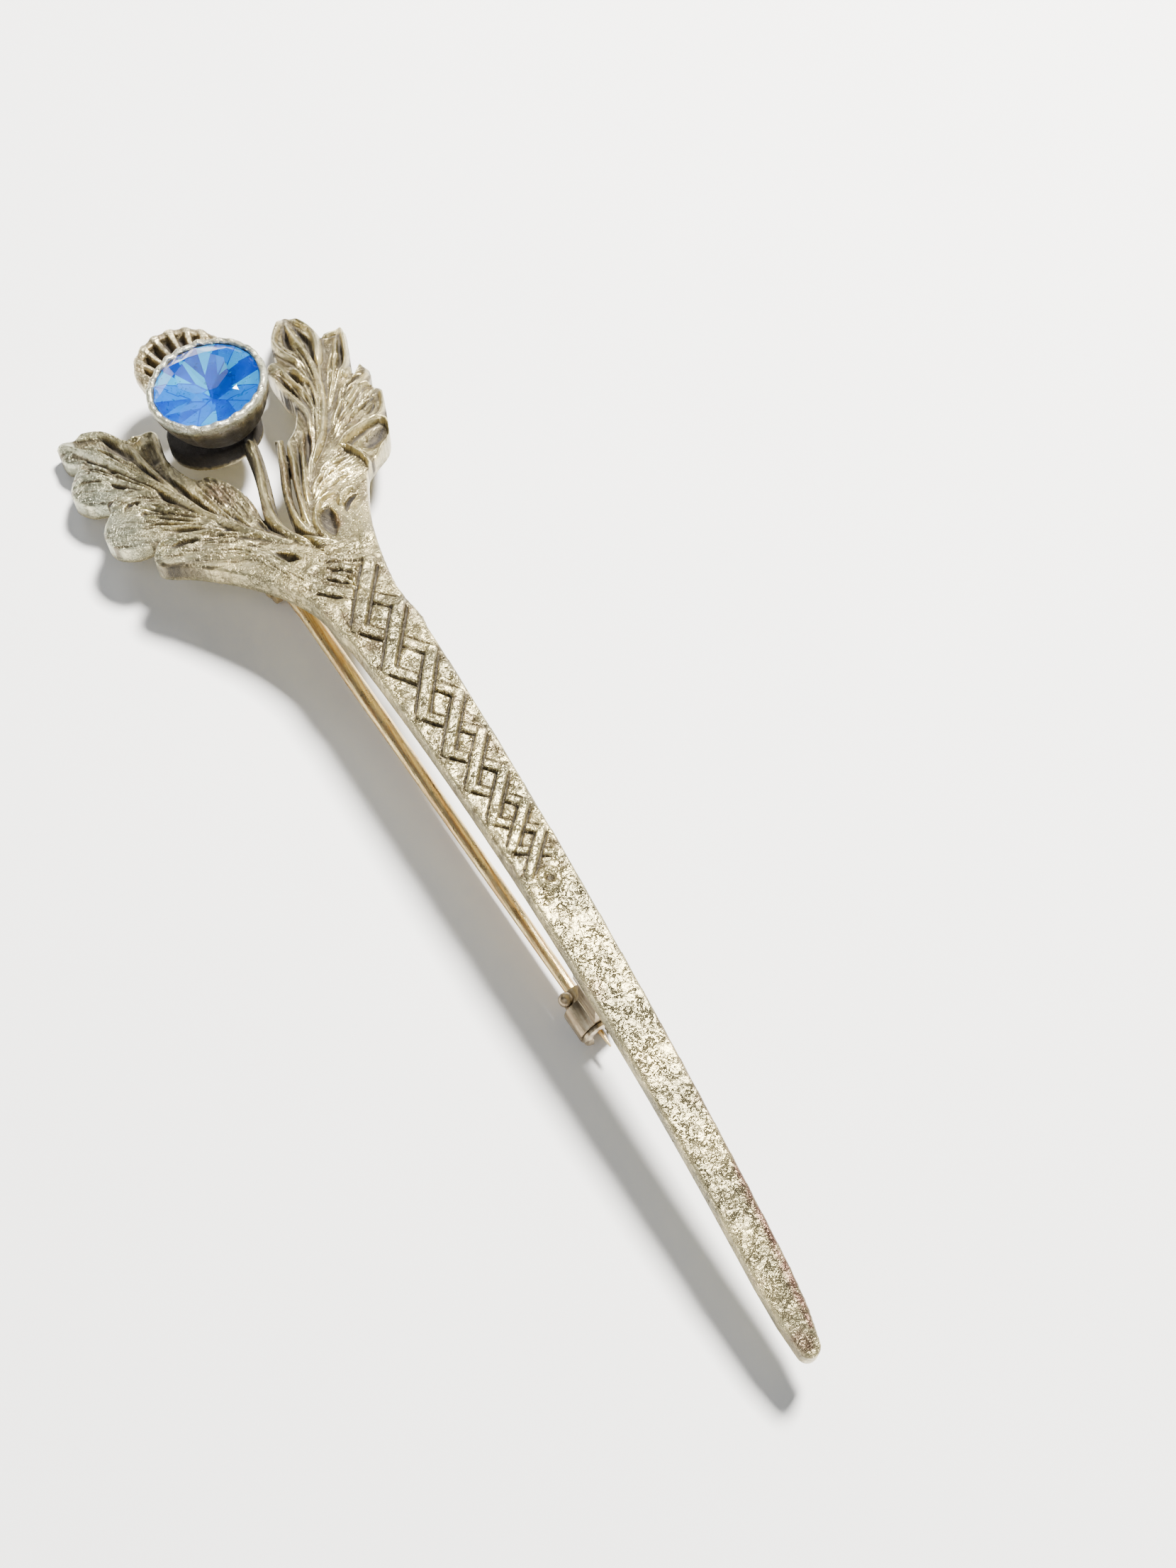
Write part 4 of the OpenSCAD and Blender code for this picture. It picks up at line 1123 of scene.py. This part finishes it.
@dataclass
class Casting:
    """The leaf spray and shaft, one casting in pewter.

    Attributes:
        plan: Its outline and plain faces.
        fret: Its woven strands.
        pitch: Spacing of its points.
        edge_round: Radius of its front edges.
        vein_slant: Angle between the midrib and the finest veins, in degrees.
    """

    plan: CastingPlan = CastingPlan()
    fret: Fretwork = field(default_factory=Fretwork)
    pitch: float = 0.065
    edge_round: float = 0.2
    vein_slant: float = 27.0

    def grid(self) -> tuple[Array, Array]:
        """Returns X and Y of an even grid over the whole plan."""
        xs = np.arange(-12, 10, self.pitch)
        ys = np.arange(-0.6, 73.6, self.pitch)
        return np.meshgrid(xs, ys)

    def heights(self, x: Array, y: Array) -> tuple[Array, Array]:
        """Works out the modelled front.

        Args:
            x: X of the grid.
            y: Y of the grid.

        Returns:
            The relief's height and the amount of brown stain.
        """
        relief = Relief(x, y)
        for stroke in (*LEFT_STROKES, *RIGHT_STROKES):
            relief.apply(stroke)
        for fan in FANS:
            for vein in fan.strokes():
                relief.apply(vein)
        height = relief.height() + self.fret.heights(relief, self.plan)
        rng = np.random.default_rng(SEED)
        uneven = softened(rng.normal(0, 1, x.shape), np.ones(x.shape, bool), 3)
        broad = softened(rng.normal(0, 1, x.shape), np.ones(x.shape, bool), 9)
        height += (0.10 * uneven + 0.25 * broad) * (1 - 0.65 * smooth_step(49, 53, y))
        return height, relief.stain

    def veins(self, x: Array, y: Array) -> tuple[Array, Array, Array]:
        """Lays the lines of the finest veins, which leave each leaf's midrib aslant.

        Args:
            x: X of the grid.
            y: Y of the grid.

        Returns:
            Millimetres across and along the veins, and how strongly they show.
        """
        slant = math.radians(self.vein_slant)
        nearest, across, along = np.full(x.shape, 1e3), np.zeros(x.shape), np.zeros(x.shape)
        for rib in (self.plan.LEFT_RIB, self.plan.RIGHT_RIB):
            line = through(rib)
            length = np.hypot(*np.diff(line, axis=0).T).sum()
            gap, share = away_from(x, y, line)
            best = gap < nearest
            nearest = np.where(best, gap, nearest)
            across = np.where(best, length * share * math.sin(slant) - gap * math.cos(slant), across)
            along = np.where(best, length * share * math.cos(slant) + gap * math.sin(slant), along)
        veined = smooth_step(49.5, 52, y) * (1 - smooth_step(9, 11, nearest))
        return across, along, veined

    def build(self) -> bpy.types.Object:
        """Returns the casting's mesh, with its hollows, stains and veins marked, painted shade round the
        cup's foot and painted greenish light on the left leaf.
        """
        x, y = self.grid()
        edge = self.plan.edge(x, y)
        height, stain = self.heights(x, y)
        mask = edge < 0.05
        near, far = softened(height, mask, 4), softened(height, mask, 11)
        recess_and_shade = (near - height) * 4.0 + (far - height) * 1.9 + np.clip(-height - 0.1, 0, 1) * 0.8
        recess_and_shade = np.clip(recess_and_shade, -0.4, 0.9)
        depth = np.clip(-edge, 0, self.edge_round)
        fall = self.edge_round - np.sqrt(self.edge_round**2 - (self.edge_round - depth) ** 2)
        front = self.plan.front(x, y)
        from_pad = np.hypot(x - self.plan.PAD[0], y - self.plan.PAD[1]) - self.plan.PAD_RADIUS
        height = np.where(from_pad < -0.2, np.minimum(height, 0.02), height)
        # Painted shade of the cup round its foot, laid over the recess darkening.
        recess_and_shade = np.maximum(recess_and_shade, 1.15 * (1 - smooth_step(0.0, 0.7, from_pad)))
        across, along, veined = self.veins(x, y)
        # Painted greenish light, falling colder on the left leaf.
        cool_light = 0.8 * smooth_step(6, 11, -x) * smooth_step(50, 54, y)
        top = front + height - 0.8 * fall
        under = np.maximum(front - self.plan.thickness + 0.25 * fall, 0)
        marks = {"recess_and_shade": recess_and_shade, "stain": stain, "across": across, "along": along, "veined": veined,
                 "cool_light": cool_light}
        sheet = Sheet(x, y, edge, top, under, marks)
        return sheet.build("pewter_leaf_and_shaft")


# ---- The thistle head ----


@dataclass(frozen=True)
class Head:
    """Place and lean of the cup that holds the stone.

    Attributes:
        place: The cup's place in plan.
        height: Height of the stone's girdle.
        lean_left: Lean to the left, in degrees.
        lean_top: Lean to the top, in degrees.
    """

    place: Point = (-1.75, 63.4)
    height: float = 7.7
    lean_left: float = 5.9
    lean_top: float = 2.6

    def seat(self, points: Array) -> Array:
        """Moves points from the cup's own axes, with the girdle at zero, into the frame."""
        turn = Matrix.Rotation(math.radians(-self.lean_left), 3, "Y")
        turn = turn @ Matrix.Rotation(math.radians(-self.lean_top), 3, "X")
        moved = np.asarray(points, float) @ np.array(turn).T
        return settle(moved + (*self.place, self.height))


@dataclass(frozen=True)
class Cup:
    """The round cup with its lip burnished over the stone.

    Attributes:
        head: Its place.
        stone: Radius of the stone.
        wall: Wall at the lip.
        depth: Height below the girdle.
        turns: Points round it.
    """

    head: Head = Head()
    stone: float = 3.2
    wall: float = 0.5
    depth: float = 3.0
    turns: int = 160

    def profile(self) -> Array:
        """Returns radius and height from the foot's middle, up the wall and down inside."""
        r, w = self.stone, self.wall
        foot = ((2.0, -self.depth), (2.35, -self.depth + 0.08), (2.75, -2.45), (3.05, -1.9))
        side = ((r + 0.12, -1.3), (r + w - 0.24, -0.8), (r + w - 0.12, -0.4), (r + w - 0.08, -0.12))
        lip = ((r + w - 0.12, 0.06), (r + w - 0.22, 0.15), (r + 0.16, 0.16), (r + 0.06, 0.12),
               (r + 0.01, 0.04))
        outer = through((*foot, *side, *lip), steps=3)
        inner = ((r - 0.02, 0.0), (r - 0.02, -0.5), (1.62, -1.35), (1.6, -2.1), (0.02, -2.15))
        return np.vstack([((0.02, -self.depth),), outer, inner])

    def build(self) -> bpy.types.Object:
        """Returns the cup's mesh, its lip worked a little unevenly, its wall marked darker downward, partly
        tarnish and partly painted shade under the lip.
        """
        rng = np.random.default_rng(SEED + 5)
        turn = np.linspace(0, 2 * np.pi, self.turns, endpoint=False)
        wave = sum(rng.normal(0, 0.028) * np.cos(k * turn + rng.uniform(0, 6.28)) for k in range(3, 14))
        dents = sum(rng.normal(0, 0.016) * np.cos(k * turn + rng.uniform(0, 6.28)) for k in range(9, 34))
        profile = self.profile()
        rings, recess_and_shade = [], []
        for r, z in profile:
            lip = math.exp(-((z - 0.1) / 0.22) ** 2) * (r > self.stone - 0.1)
            side = math.exp(-((z + 1.2) / 0.9) ** 2) * (r > 2.3)
            out = np.minimum(r + lip * 0.7 * wave + side * 0.9 * dents, self.stone + self.wall + 0.05)
            out = np.maximum(out, self.stone - 0.03) if lip > 0.3 else out
            high = z + lip * 0.9 * dents
            level = np.broadcast_to(high, turn.shape)
            rings.append(np.stack([out * np.cos(turn), out * np.sin(turn), level], 1))
            # Darker down the wall below the lip: partly tarnish, partly painted shade under the overhanging
            # lip; the inside under the stone is painted shade.
            shade = np.clip((-0.12 - z) / 1.1, -0.1, 0.95) if r > 1 else 1.0
            recess_and_shade.append(np.full(self.turns, 0.9 if r < self.stone and z > -1.4 else shade))
        points = self.head.seat(np.vstack(rings))
        n = self.turns
        faces = [
            (k * n + i, k * n + (i + 1) % n, (k + 1) * n + (i + 1) % n, (k + 1) * n + i)
            for k in range(len(profile) - 1) for i in range(n)]
        faces.append(list(range(n))[::-1])
        faces.append([(len(profile) - 1) * n + i for i in range(n)])
        piece = new_piece("thistle_cup_bezel", points, faces)
        mark(piece, "recess_and_shade", np.concatenate(recess_and_shade))
        mark(piece, "stain", np.zeros(len(points)))
        return piece


@dataclass(frozen=True)
class Stone:
    """Round faceted stone and the foil behind it.

    Attributes:
        head: Its place.
        radius: Radius at the girdle.
        crown: Height above the girdle.
        depth: Depth below the girdle.
        girdle: Height of the band between crown and back.
        table: Radius of the flat top, as a share.
        break_at: Radius of the crown's inner corners, as a share.
        back_break: Radius of the back's inner corners, as a share.
        turn: Its turn in the cup, in degrees.
        flat: Width of the polished flat on a front edge.
        crease: Width of the crease on a back edge, which takes the foil's darkest tone as a painted dark
            line.
    """

    head: Head = Head()
    radius: float = 3.19
    crown: float = 0.95
    depth: float = 1.55
    girdle: float = 0.14
    table: float = 0.52
    break_at: float = 0.80
    back_break: float = 0.3
    turn: float = 12.0
    flat: float = 0.03
    crease: float = 0.045

    def ring(self, count: int, radius: float, z: float, shift: float = 0.0) -> Array:
        """Returns a ring of points, turned by shift of a full turn's 16th."""
        a = np.radians(self.turn) + 2 * np.pi * (np.arange(count) / count + shift / 16)
        return np.stack([radius * np.cos(a), radius * np.sin(a), np.full(count, float(z))], 1)

    def half(self, height: float, base: float, flat: float, corner: float) -> tuple[Array, list[list[int]]]:
        """Builds the facets on one side of the girdle.

        Args:
            height: Signed height of the flat or of the point.
            base: Height of the girdle's edge.
            flat: Radius share of the flat, or zero for a point.
            corner: Radius share of the inner corners.

        Returns:
            The points and the facets, first the inner ring, then the corners, then the girdle.
        """
        r = self.radius
        inner = self.ring(8, max(flat, 0.02) * r, base + height)
        at = base + height * (1 - corner * math.cos(math.pi / 8)) / (1 - flat)
        corners = self.ring(8, corner * r, at, 1.0)
        rim = self.ring(16, r, base)
        faces = [[0, 1, 2, 3, 4, 5, 6, 7]]
        for j in range(8):
            k = (j + 1) % 8
            faces.append([j, 8 + j, k])
            faces.append([j, 8 + (j - 1) % 8, 16 + 2 * j, 8 + j])
            faces.append([8 + j, 16 + 2 * j, 16 + 2 * j + 1])
            faces.append([8 + j, 16 + 2 * j + 1, 16 + (2 * j + 2) % 16])
        return np.vstack([inner, corners, rim]), faces

    def build(self) -> bpy.types.Object:
        """Returns the cut stone."""
        top, up = self.half(self.crown, 0.0, self.table, self.break_at)
        low, down = self.half(-self.depth, -self.girdle, 0.0, self.back_break)
        count = len(top)
        faces = [f[:] for f in up] + [[count + v for v in f[::-1]] for f in down]
        for i in range(16):
            j = (i + 1) % 16
            faces.append([16 + i, count + 16 + i, count + 16 + j, 16 + j])
        piece = new_piece("cut_blue_stone", self.head.seat(np.vstack([top, low])), faces, smooth=False)
        rng = np.random.default_rng(SEED + 3)
        # A random tone for each facet; on the back facets the foil shows it as painted light and shade.
        tone = rng.uniform(0, 1, len(faces))
        for i, face in enumerate(piece.data.polygons):
            face.material_index = 1 if len(up) <= i < len(up) + len(down) else 0
        layer = piece.data.attributes.new("tone", "FLOAT", "FACE")
        layer.data.foreach_set("value", tone.astype(np.float32))
        return self.broken_edges(piece)

    def foil(self) -> bpy.types.Object:
        """Returns the foil, pressed to the stone's back facets."""
        low, down = self.half(-self.depth, -self.girdle - 0.02, 0.0, self.back_break)
        back, _ = self.half(-self.depth, -self.girdle - 0.06, 0.0, self.back_break)
        count = len(low)
        wrap = np.vstack([self.ring(16, self.radius + out, -0.03) for out in (0.012, 0.03)])
        faces = [f[:] for f in down] + [[count + v for v in f[::-1]] for f in down]
        for i in range(16):
            j = (i + 1) % 16
            inside, outside = 2 * count, 2 * count + 16
            faces.append([16 + j, 16 + i, inside + i, inside + j])
            faces.append([inside + j, inside + i, outside + i, outside + j])
            faces.append([outside + j, outside + i, count + 16 + i, count + 16 + j])
        return new_piece("pressed_foil", self.head.seat(np.vstack([low, back, wrap])), faces, smooth=False)

    def broken_edges(self, piece: bpy.types.Object) -> bpy.types.Object:
        """Polishes a narrow flat on each front edge, and cuts a crease on each back edge that takes the
        foil's darkest tone, a painted dark line.
        """
        mesh = bmesh.new()
        mesh.from_mesh(piece.data)
        bmesh.ops.recalc_face_normals(mesh, faces=mesh.faces)
        self.cut_edges(mesh, 0, self.flat)
        tone = mesh.faces.layers.float.get("tone")
        made = self.cut_edges(mesh, 1, self.crease)
        # The creases take the darkest tone, a painted dark line.
        for face in made["faces"]:
            face[tone] = 0.0
            face.material_index = 1
        mesh.to_mesh(piece.data)
        mesh.free()
        piece.data.shade_flat()
        return piece

    @staticmethod
    def cut_edges(mesh: bmesh.types.BMesh, side: int, width: float) -> dict[str, list]:
        """Cuts a narrow face along each edge between two facets of one side.

        Args:
            mesh: The stone.
            side: 0 for the front, 1 for the back.
            width: Width of the cut.

        Returns:
            What the cut made, by kind.
        """
        edges = [e for e in mesh.edges if e.is_manifold and e.calc_face_angle(0) > math.radians(4)
                 and all(f.material_index == side for f in e.link_faces)]
        return bmesh.ops.bevel(mesh, geom=edges, offset=width * MM, segments=1, affect="EDGES", profile=0.5)


@dataclass(frozen=True)
class Tuft:
    """Fan-shaped crest of the thistle, fluted like a brush, on a short foot.

    Attributes:
        middle: Centre of the fan's round rim.
        root: Where the flutes would meet.
        radius: Radius of the rim.
        foot: Middle of the foot in plan.
        foot_size: The foot's width and depth.
        foot_low: Height of the foot's underside.
        cup: Middle of the round bay that clears the cup.
        bay: Radius of that bay.
        top: Height of its front face.
        thickness: Its thickness.
        rounding: Radius of its front edge.
        pitch: Spacing of its points.
        flute_step: Angle between two grooves, in degrees.
    """

    middle: Point = (-1.9, 68.3)
    root: Point = (-1.6, 64.6)
    radius: float = 2.9
    foot: Point = (-1.9, 66.25)
    foot_size: Point = (2.1, 0.72)
    foot_low: float = 2.55
    cup: Point = (-1.9, 63.4)
    bay: float = 3.66
    top: float = 5.5
    thickness: float = 1.1
    rounding: float = 0.3
    pitch: float = 0.07
    flute_step: float = 9.4

    def build(self) -> bpy.types.Object:
        """Returns the tuft's mesh, with its foot."""
        half = self.radius + 0.3
        xs = np.arange(self.middle[0] - half, self.middle[0] + half, self.pitch)
        ys = np.arange(self.middle[1] - half, self.middle[1] + half, self.pitch)
        x, y = np.meshgrid(xs, ys)
        angle = np.degrees(np.arctan2(y - self.root[1], x - self.root[0])) - 90
        wave = np.cos(np.radians(360 * angle / self.flute_step))
        rim = np.hypot(x - self.middle[0], y - self.middle[1]) - self.radius + 0.02 - 0.02 * wave
        # the fan stops short of the leaning cup
        bay = self.bay - np.hypot(x - self.cup[0], y - self.cup[1])
        edge = np.maximum(rim, bay)
        band = smooth_step(-0.75, -0.5, rim)
        groove = smooth_step(0.15, 0.85, 0.5 - 0.5 * wave)
        height = -0.62 * groove * (1 - band) - 0.10 * groove * band + 0.10 * np.sin(np.pi * band)
        rng = np.random.default_rng(SEED + 9)
        height += 0.12 * softened(rng.normal(0, 1, x.shape), np.ones(x.shape, bool), 3)
        depth = np.clip(-edge, 0, self.rounding)
        fall = self.rounding - np.sqrt(self.rounding**2 - (self.rounding - depth) ** 2)
        top = self.top - 0.12 + height - 0.9 * fall
        under = np.full(x.shape, self.top - self.thickness) + 0.6 * fall
        recess_and_shade = np.clip(1.0 * groove * (1 - band) + 0.15 * groove - 0.15, -0.2, 1)
        marks = {"recess_and_shade": recess_and_shade, "stain": 0.35 * np.ones(x.shape)}
        piece = Sheet(x, y, edge, top, under, marks).build("fluted_tuft")
        return self.with_foot(piece)

    def with_foot(self, piece: bpy.types.Object) -> bpy.types.Object:
        """Adds the foot that carries the fan, as part of the same mesh."""
        mesh = bmesh.new()
        mesh.from_mesh(piece.data)
        height = self.top - self.thickness / 2 - self.foot_low
        middle = settle(((*self.foot, self.foot_low + height / 2),))[0]
        size = Matrix.Diagonal((self.foot_size[0] * MM, self.foot_size[1] * MM, height * MM, 1))
        place = Matrix.Translation(Vector(middle)) @ size
        made = bmesh.ops.create_cube(mesh, size=1, matrix=place)
        edges = list({e for v in made["verts"] for e in v.link_edges})
        bmesh.ops.bevel(mesh, geom=edges, offset=0.12 * MM, segments=3, affect="EDGES", profile=0.5)
        mesh.to_mesh(piece.data)
        mesh.free()
        piece.data.shade_smooth()
        return piece


# ---- Findings on the back ----


@dataclass(frozen=True)
class Finding:
    """A piece of the frame whose shape stays, with its sharp edges broken.

    Attributes:
        node: The frame's node.
        body: The body that it moves with.
        slot: A material slot name; not used.
        finish: Its finish.
        bevel: Width of the broken edges, or zero to keep the frame's own mesh.
    """

    node: str
    body: str
    slot: str
    finish: Callable[[], bpy.types.Material]
    bevel: float = 0.06

    def build(self) -> bpy.types.Object:
        """Returns the dressed piece."""
        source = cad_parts[self.node]
        if self.bevel <= 0:
            dress(source, self.finish())
            return source
        mesh = bmesh.new()
        mesh.from_mesh(source.data)
        bmesh.ops.remove_doubles(mesh, verts=mesh.verts, dist=0.0005 * MM)
        flat = [e for e in mesh.edges if e.is_manifold and e.calc_face_angle(0) < math.radians(1)]
        bmesh.ops.dissolve_edges(mesh, edges=flat, use_verts=False)
        made = bpy.data.meshes.new(self.node + "_finished")
        mesh.to_mesh(made)
        mesh.free()
        piece = bpy.data.objects.new(self.node + "_finished", made)
        bpy.context.scene.collection.objects.link(piece)
        edge = piece.modifiers.new("edge", "BEVEL")
        edge.width = self.bevel * MM
        edge.segments = 2
        edge.limit_method = "ANGLE"
        edge.angle_limit = math.radians(28)
        edge.use_clamp_overlap = True
        view = bpy.context.evaluated_depsgraph_get()
        final = bpy.data.meshes.new_from_object(piece.evaluated_get(view))
        piece.modifiers.clear()
        piece.data = final
        final.shade_smooth()
        final.set_sharp_from_angle(angle=math.radians(34))
        dress(piece, self.finish())
        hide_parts(self.node)
        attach(piece, self.body)
        return piece


def dress(piece: bpy.types.Object, material: bpy.types.Material) -> None:
    """Gives a piece its main finish, in its first slot."""
    if piece.data.materials:
        piece.data.materials[0] = material
    else:
        piece.data.materials.append(material)


# ---- The studio ----


@dataclass(frozen=True)
class Studio:
    """Plain pale floor, soft lights, and the camera over the tip looking up the shaft.

    Attributes:
        eye: The camera's place, in metres.
        pitch: Its angle below the horizon, in degrees.
        heading: Its turn to the right of the shaft's direction, in degrees.
        lens: Its focal length on a 36 mm sensor.
        floor_half: Half the floor's width, in metres.
    """

    eye: Triple = (-0.01568, -0.0451, 0.0825)
    pitch: float = 60.0
    heading: float = 29.4
    lens: float = 39.06
    floor_half: float = 0.6

    def camera(self) -> None:
        """Sets up the camera."""
        data = bpy.data.cameras.new("camera")
        data.lens, data.sensor_width, data.clip_start = self.lens, 36, 0.005
        data.dof.use_dof = False
        camera = bpy.data.objects.new("camera", data)
        camera.location = self.eye
        camera.rotation_euler = (math.radians(90 - self.pitch), 0, math.radians(-self.heading))
        bpy.context.scene.collection.objects.link(camera)
        bpy.context.scene.camera = camera

    def light(self, name: str, place: Triple, size: float, power: float, colour: Colour) -> None:
        """Hangs one soft square light that faces the brooch.

        Args:
            name: The light's name.
            place: Where it hangs, in metres.
            size: Width of the square.
            power: Its power in watts.
            colour: Its colour.
        """
        data = bpy.data.lights.new(name, "AREA")
        data.energy, data.size, data.color = power, size, colour
        lamp = bpy.data.objects.new(name, data)
        lamp.location = place
        lamp.rotation_euler = (Vector((0, 0.01, 0)) - Vector(place)).to_track_quat("-Z", "Y").to_euler()
        bpy.context.scene.collection.objects.link(lamp)

    def floor(self) -> None:
        """Lays the floor."""
        half = self.floor_half
        points = [(x, y, -0.02 * MM) for y in (-half, half) for x in (-half, half)]
        floor = new_piece("studio_floor", points, [(0, 1, 3, 2)], smooth=False)
        b = Bench("pale_paper")
        tone = b.mix(b.noise(0.05, 3), (0.74, 0.74, 0.735), (0.79, 0.79, 0.785))
        b.set(Base_Color=tone, Roughness=0.9, Specular_IOR_Level=0.15)
        dress(floor, b.material)

    def build(self) -> None:
        """Sets the whole studio up."""
        self.camera()
        self.floor()
        self.light("key", (0.14, 0.065, 0.26), 0.06, 6.2, (1.0, 0.97, 0.92))
        self.light("far", (0.0, 0.29, 0.24), 0.15, 0.25, (0.97, 0.98, 1.0))
        self.light("fill", (-0.25, -0.12, 0.3), 0.35, 0.8, (0.93, 0.96, 1.0))
        world = bpy.data.worlds.new("studio_air")
        world.use_nodes = True
        sky = world.node_tree.nodes["Background"]
        sky.inputs[0].default_value = (0.9, 0.92, 0.95, 1)
        sky.inputs[1].default_value = 0.13
        bpy.context.scene.world = world


def finished(piece: bpy.types.Object, material: bpy.types.Material, node: str) -> None:
    """Dresses a piece of the brooch and lets it stand for its node."""
    dress(piece, material)
    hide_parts(node)
    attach(piece, "brooch")
    LOG.info("%s: %d points", piece.name, len(piece.data.vertices))


def main() -> None:
    """Builds the brooch and its studio."""
    logging.basicConfig(level=logging.INFO, format="%(message)s")
    pewter = Pewter("antiqued_pewter_cast").material()
    rubbed = Pewter("rubbed_pewter_cup", bright=(0.56, 0.56, 0.48), dull=(0.26, 0.28, 0.23), rough=0.28,
                    crack=0.03).material()
    tuft = Pewter("antiqued_pewter_tuft", crack=0.03).material()
    finished(Casting().build(), pewter, "leaf_and_shaft_casting")
    finished(Cup().build(), rubbed, "thistle_cup")
    finished(Tuft().build(), tuft, "thistle_tuft")
    foil = Foil("lacquered_foil").material()
    stone = Stone().build()
    finished(stone, Glass("blue_cut_glass").material(), "blue_stone")
    stone.data.materials.append(foil)
    finished(Stone().foil(), foil, "stone_foil")

    def solder() -> bpy.types.Material:
        """Returns the solder's finish."""
        return Pewter("dull_solder", bright=(0.5, 0.49, 0.46), dull=(0.36, 0.35, 0.33), rough=0.5,
                      marked=False).material()

    def cement() -> bpy.types.Material:
        """Returns the cement's finish."""
        b = Bench("yellowed_cement")
        tone = b.mix(b.noise(1.5, 5), (0.72, 0.64, 0.42), (0.55, 0.46, 0.28))
        b.set(Base_Color=tone, Roughness=0.7, Normal=b.bump(b.noise(3, 5), 0.05))
        return b.material

    brass = Wire("brass_wire_stem", colour=(0.86, 0.68, 0.34), worn=(0.66, 0.42, 0.17),
                 dark=(0.12, 0.07, 0.03), rough=0.24, streaks=7.0).material()
    fitting = Wire("brass_fitting_plate", colour=(0.60, 0.47, 0.24), worn=(0.42, 0.33, 0.18),
                   dark=(0.10, 0.07, 0.04), rough=0.38, streaks=3.0).material()
    catch = Wire("plated_catch_metal", colour=(0.44, 0.37, 0.25), worn=(0.24, 0.18, 0.11),
                 dark=(0.06, 0.045, 0.03), rough=0.3, streaks=3.0).material()
    for finding in (
        Finding("cup_solder", "brooch", "solder", solder, 0),
        Finding("stone_cement", "brooch", "cement", cement, 0),
        Finding("hinge_bracket", "brooch", "brass_fitting", lambda: fitting),
        Finding("hinge_solder", "brooch", "solder", solder, 0.04),
        Finding("hinge_rivet", "brooch", "brass_wire", lambda: fitting, 0.08),
        Finding("pin_stem", "stem", "brass_wire", lambda: brass, 0.05),
        Finding("catch_housing", "brooch", "catch_metal", lambda: catch, 0.05),
        Finding("catch_solder", "brooch", "solder", solder, 0.04),
        Finding("catch_roller", "roller", "catch_metal", lambda: catch, 0.04),
    ):
        piece = finding.build()
        LOG.info("%s: %d points", piece.name, len(piece.data.vertices))
    Studio().build()


if __name__ == "__main__":
    main()
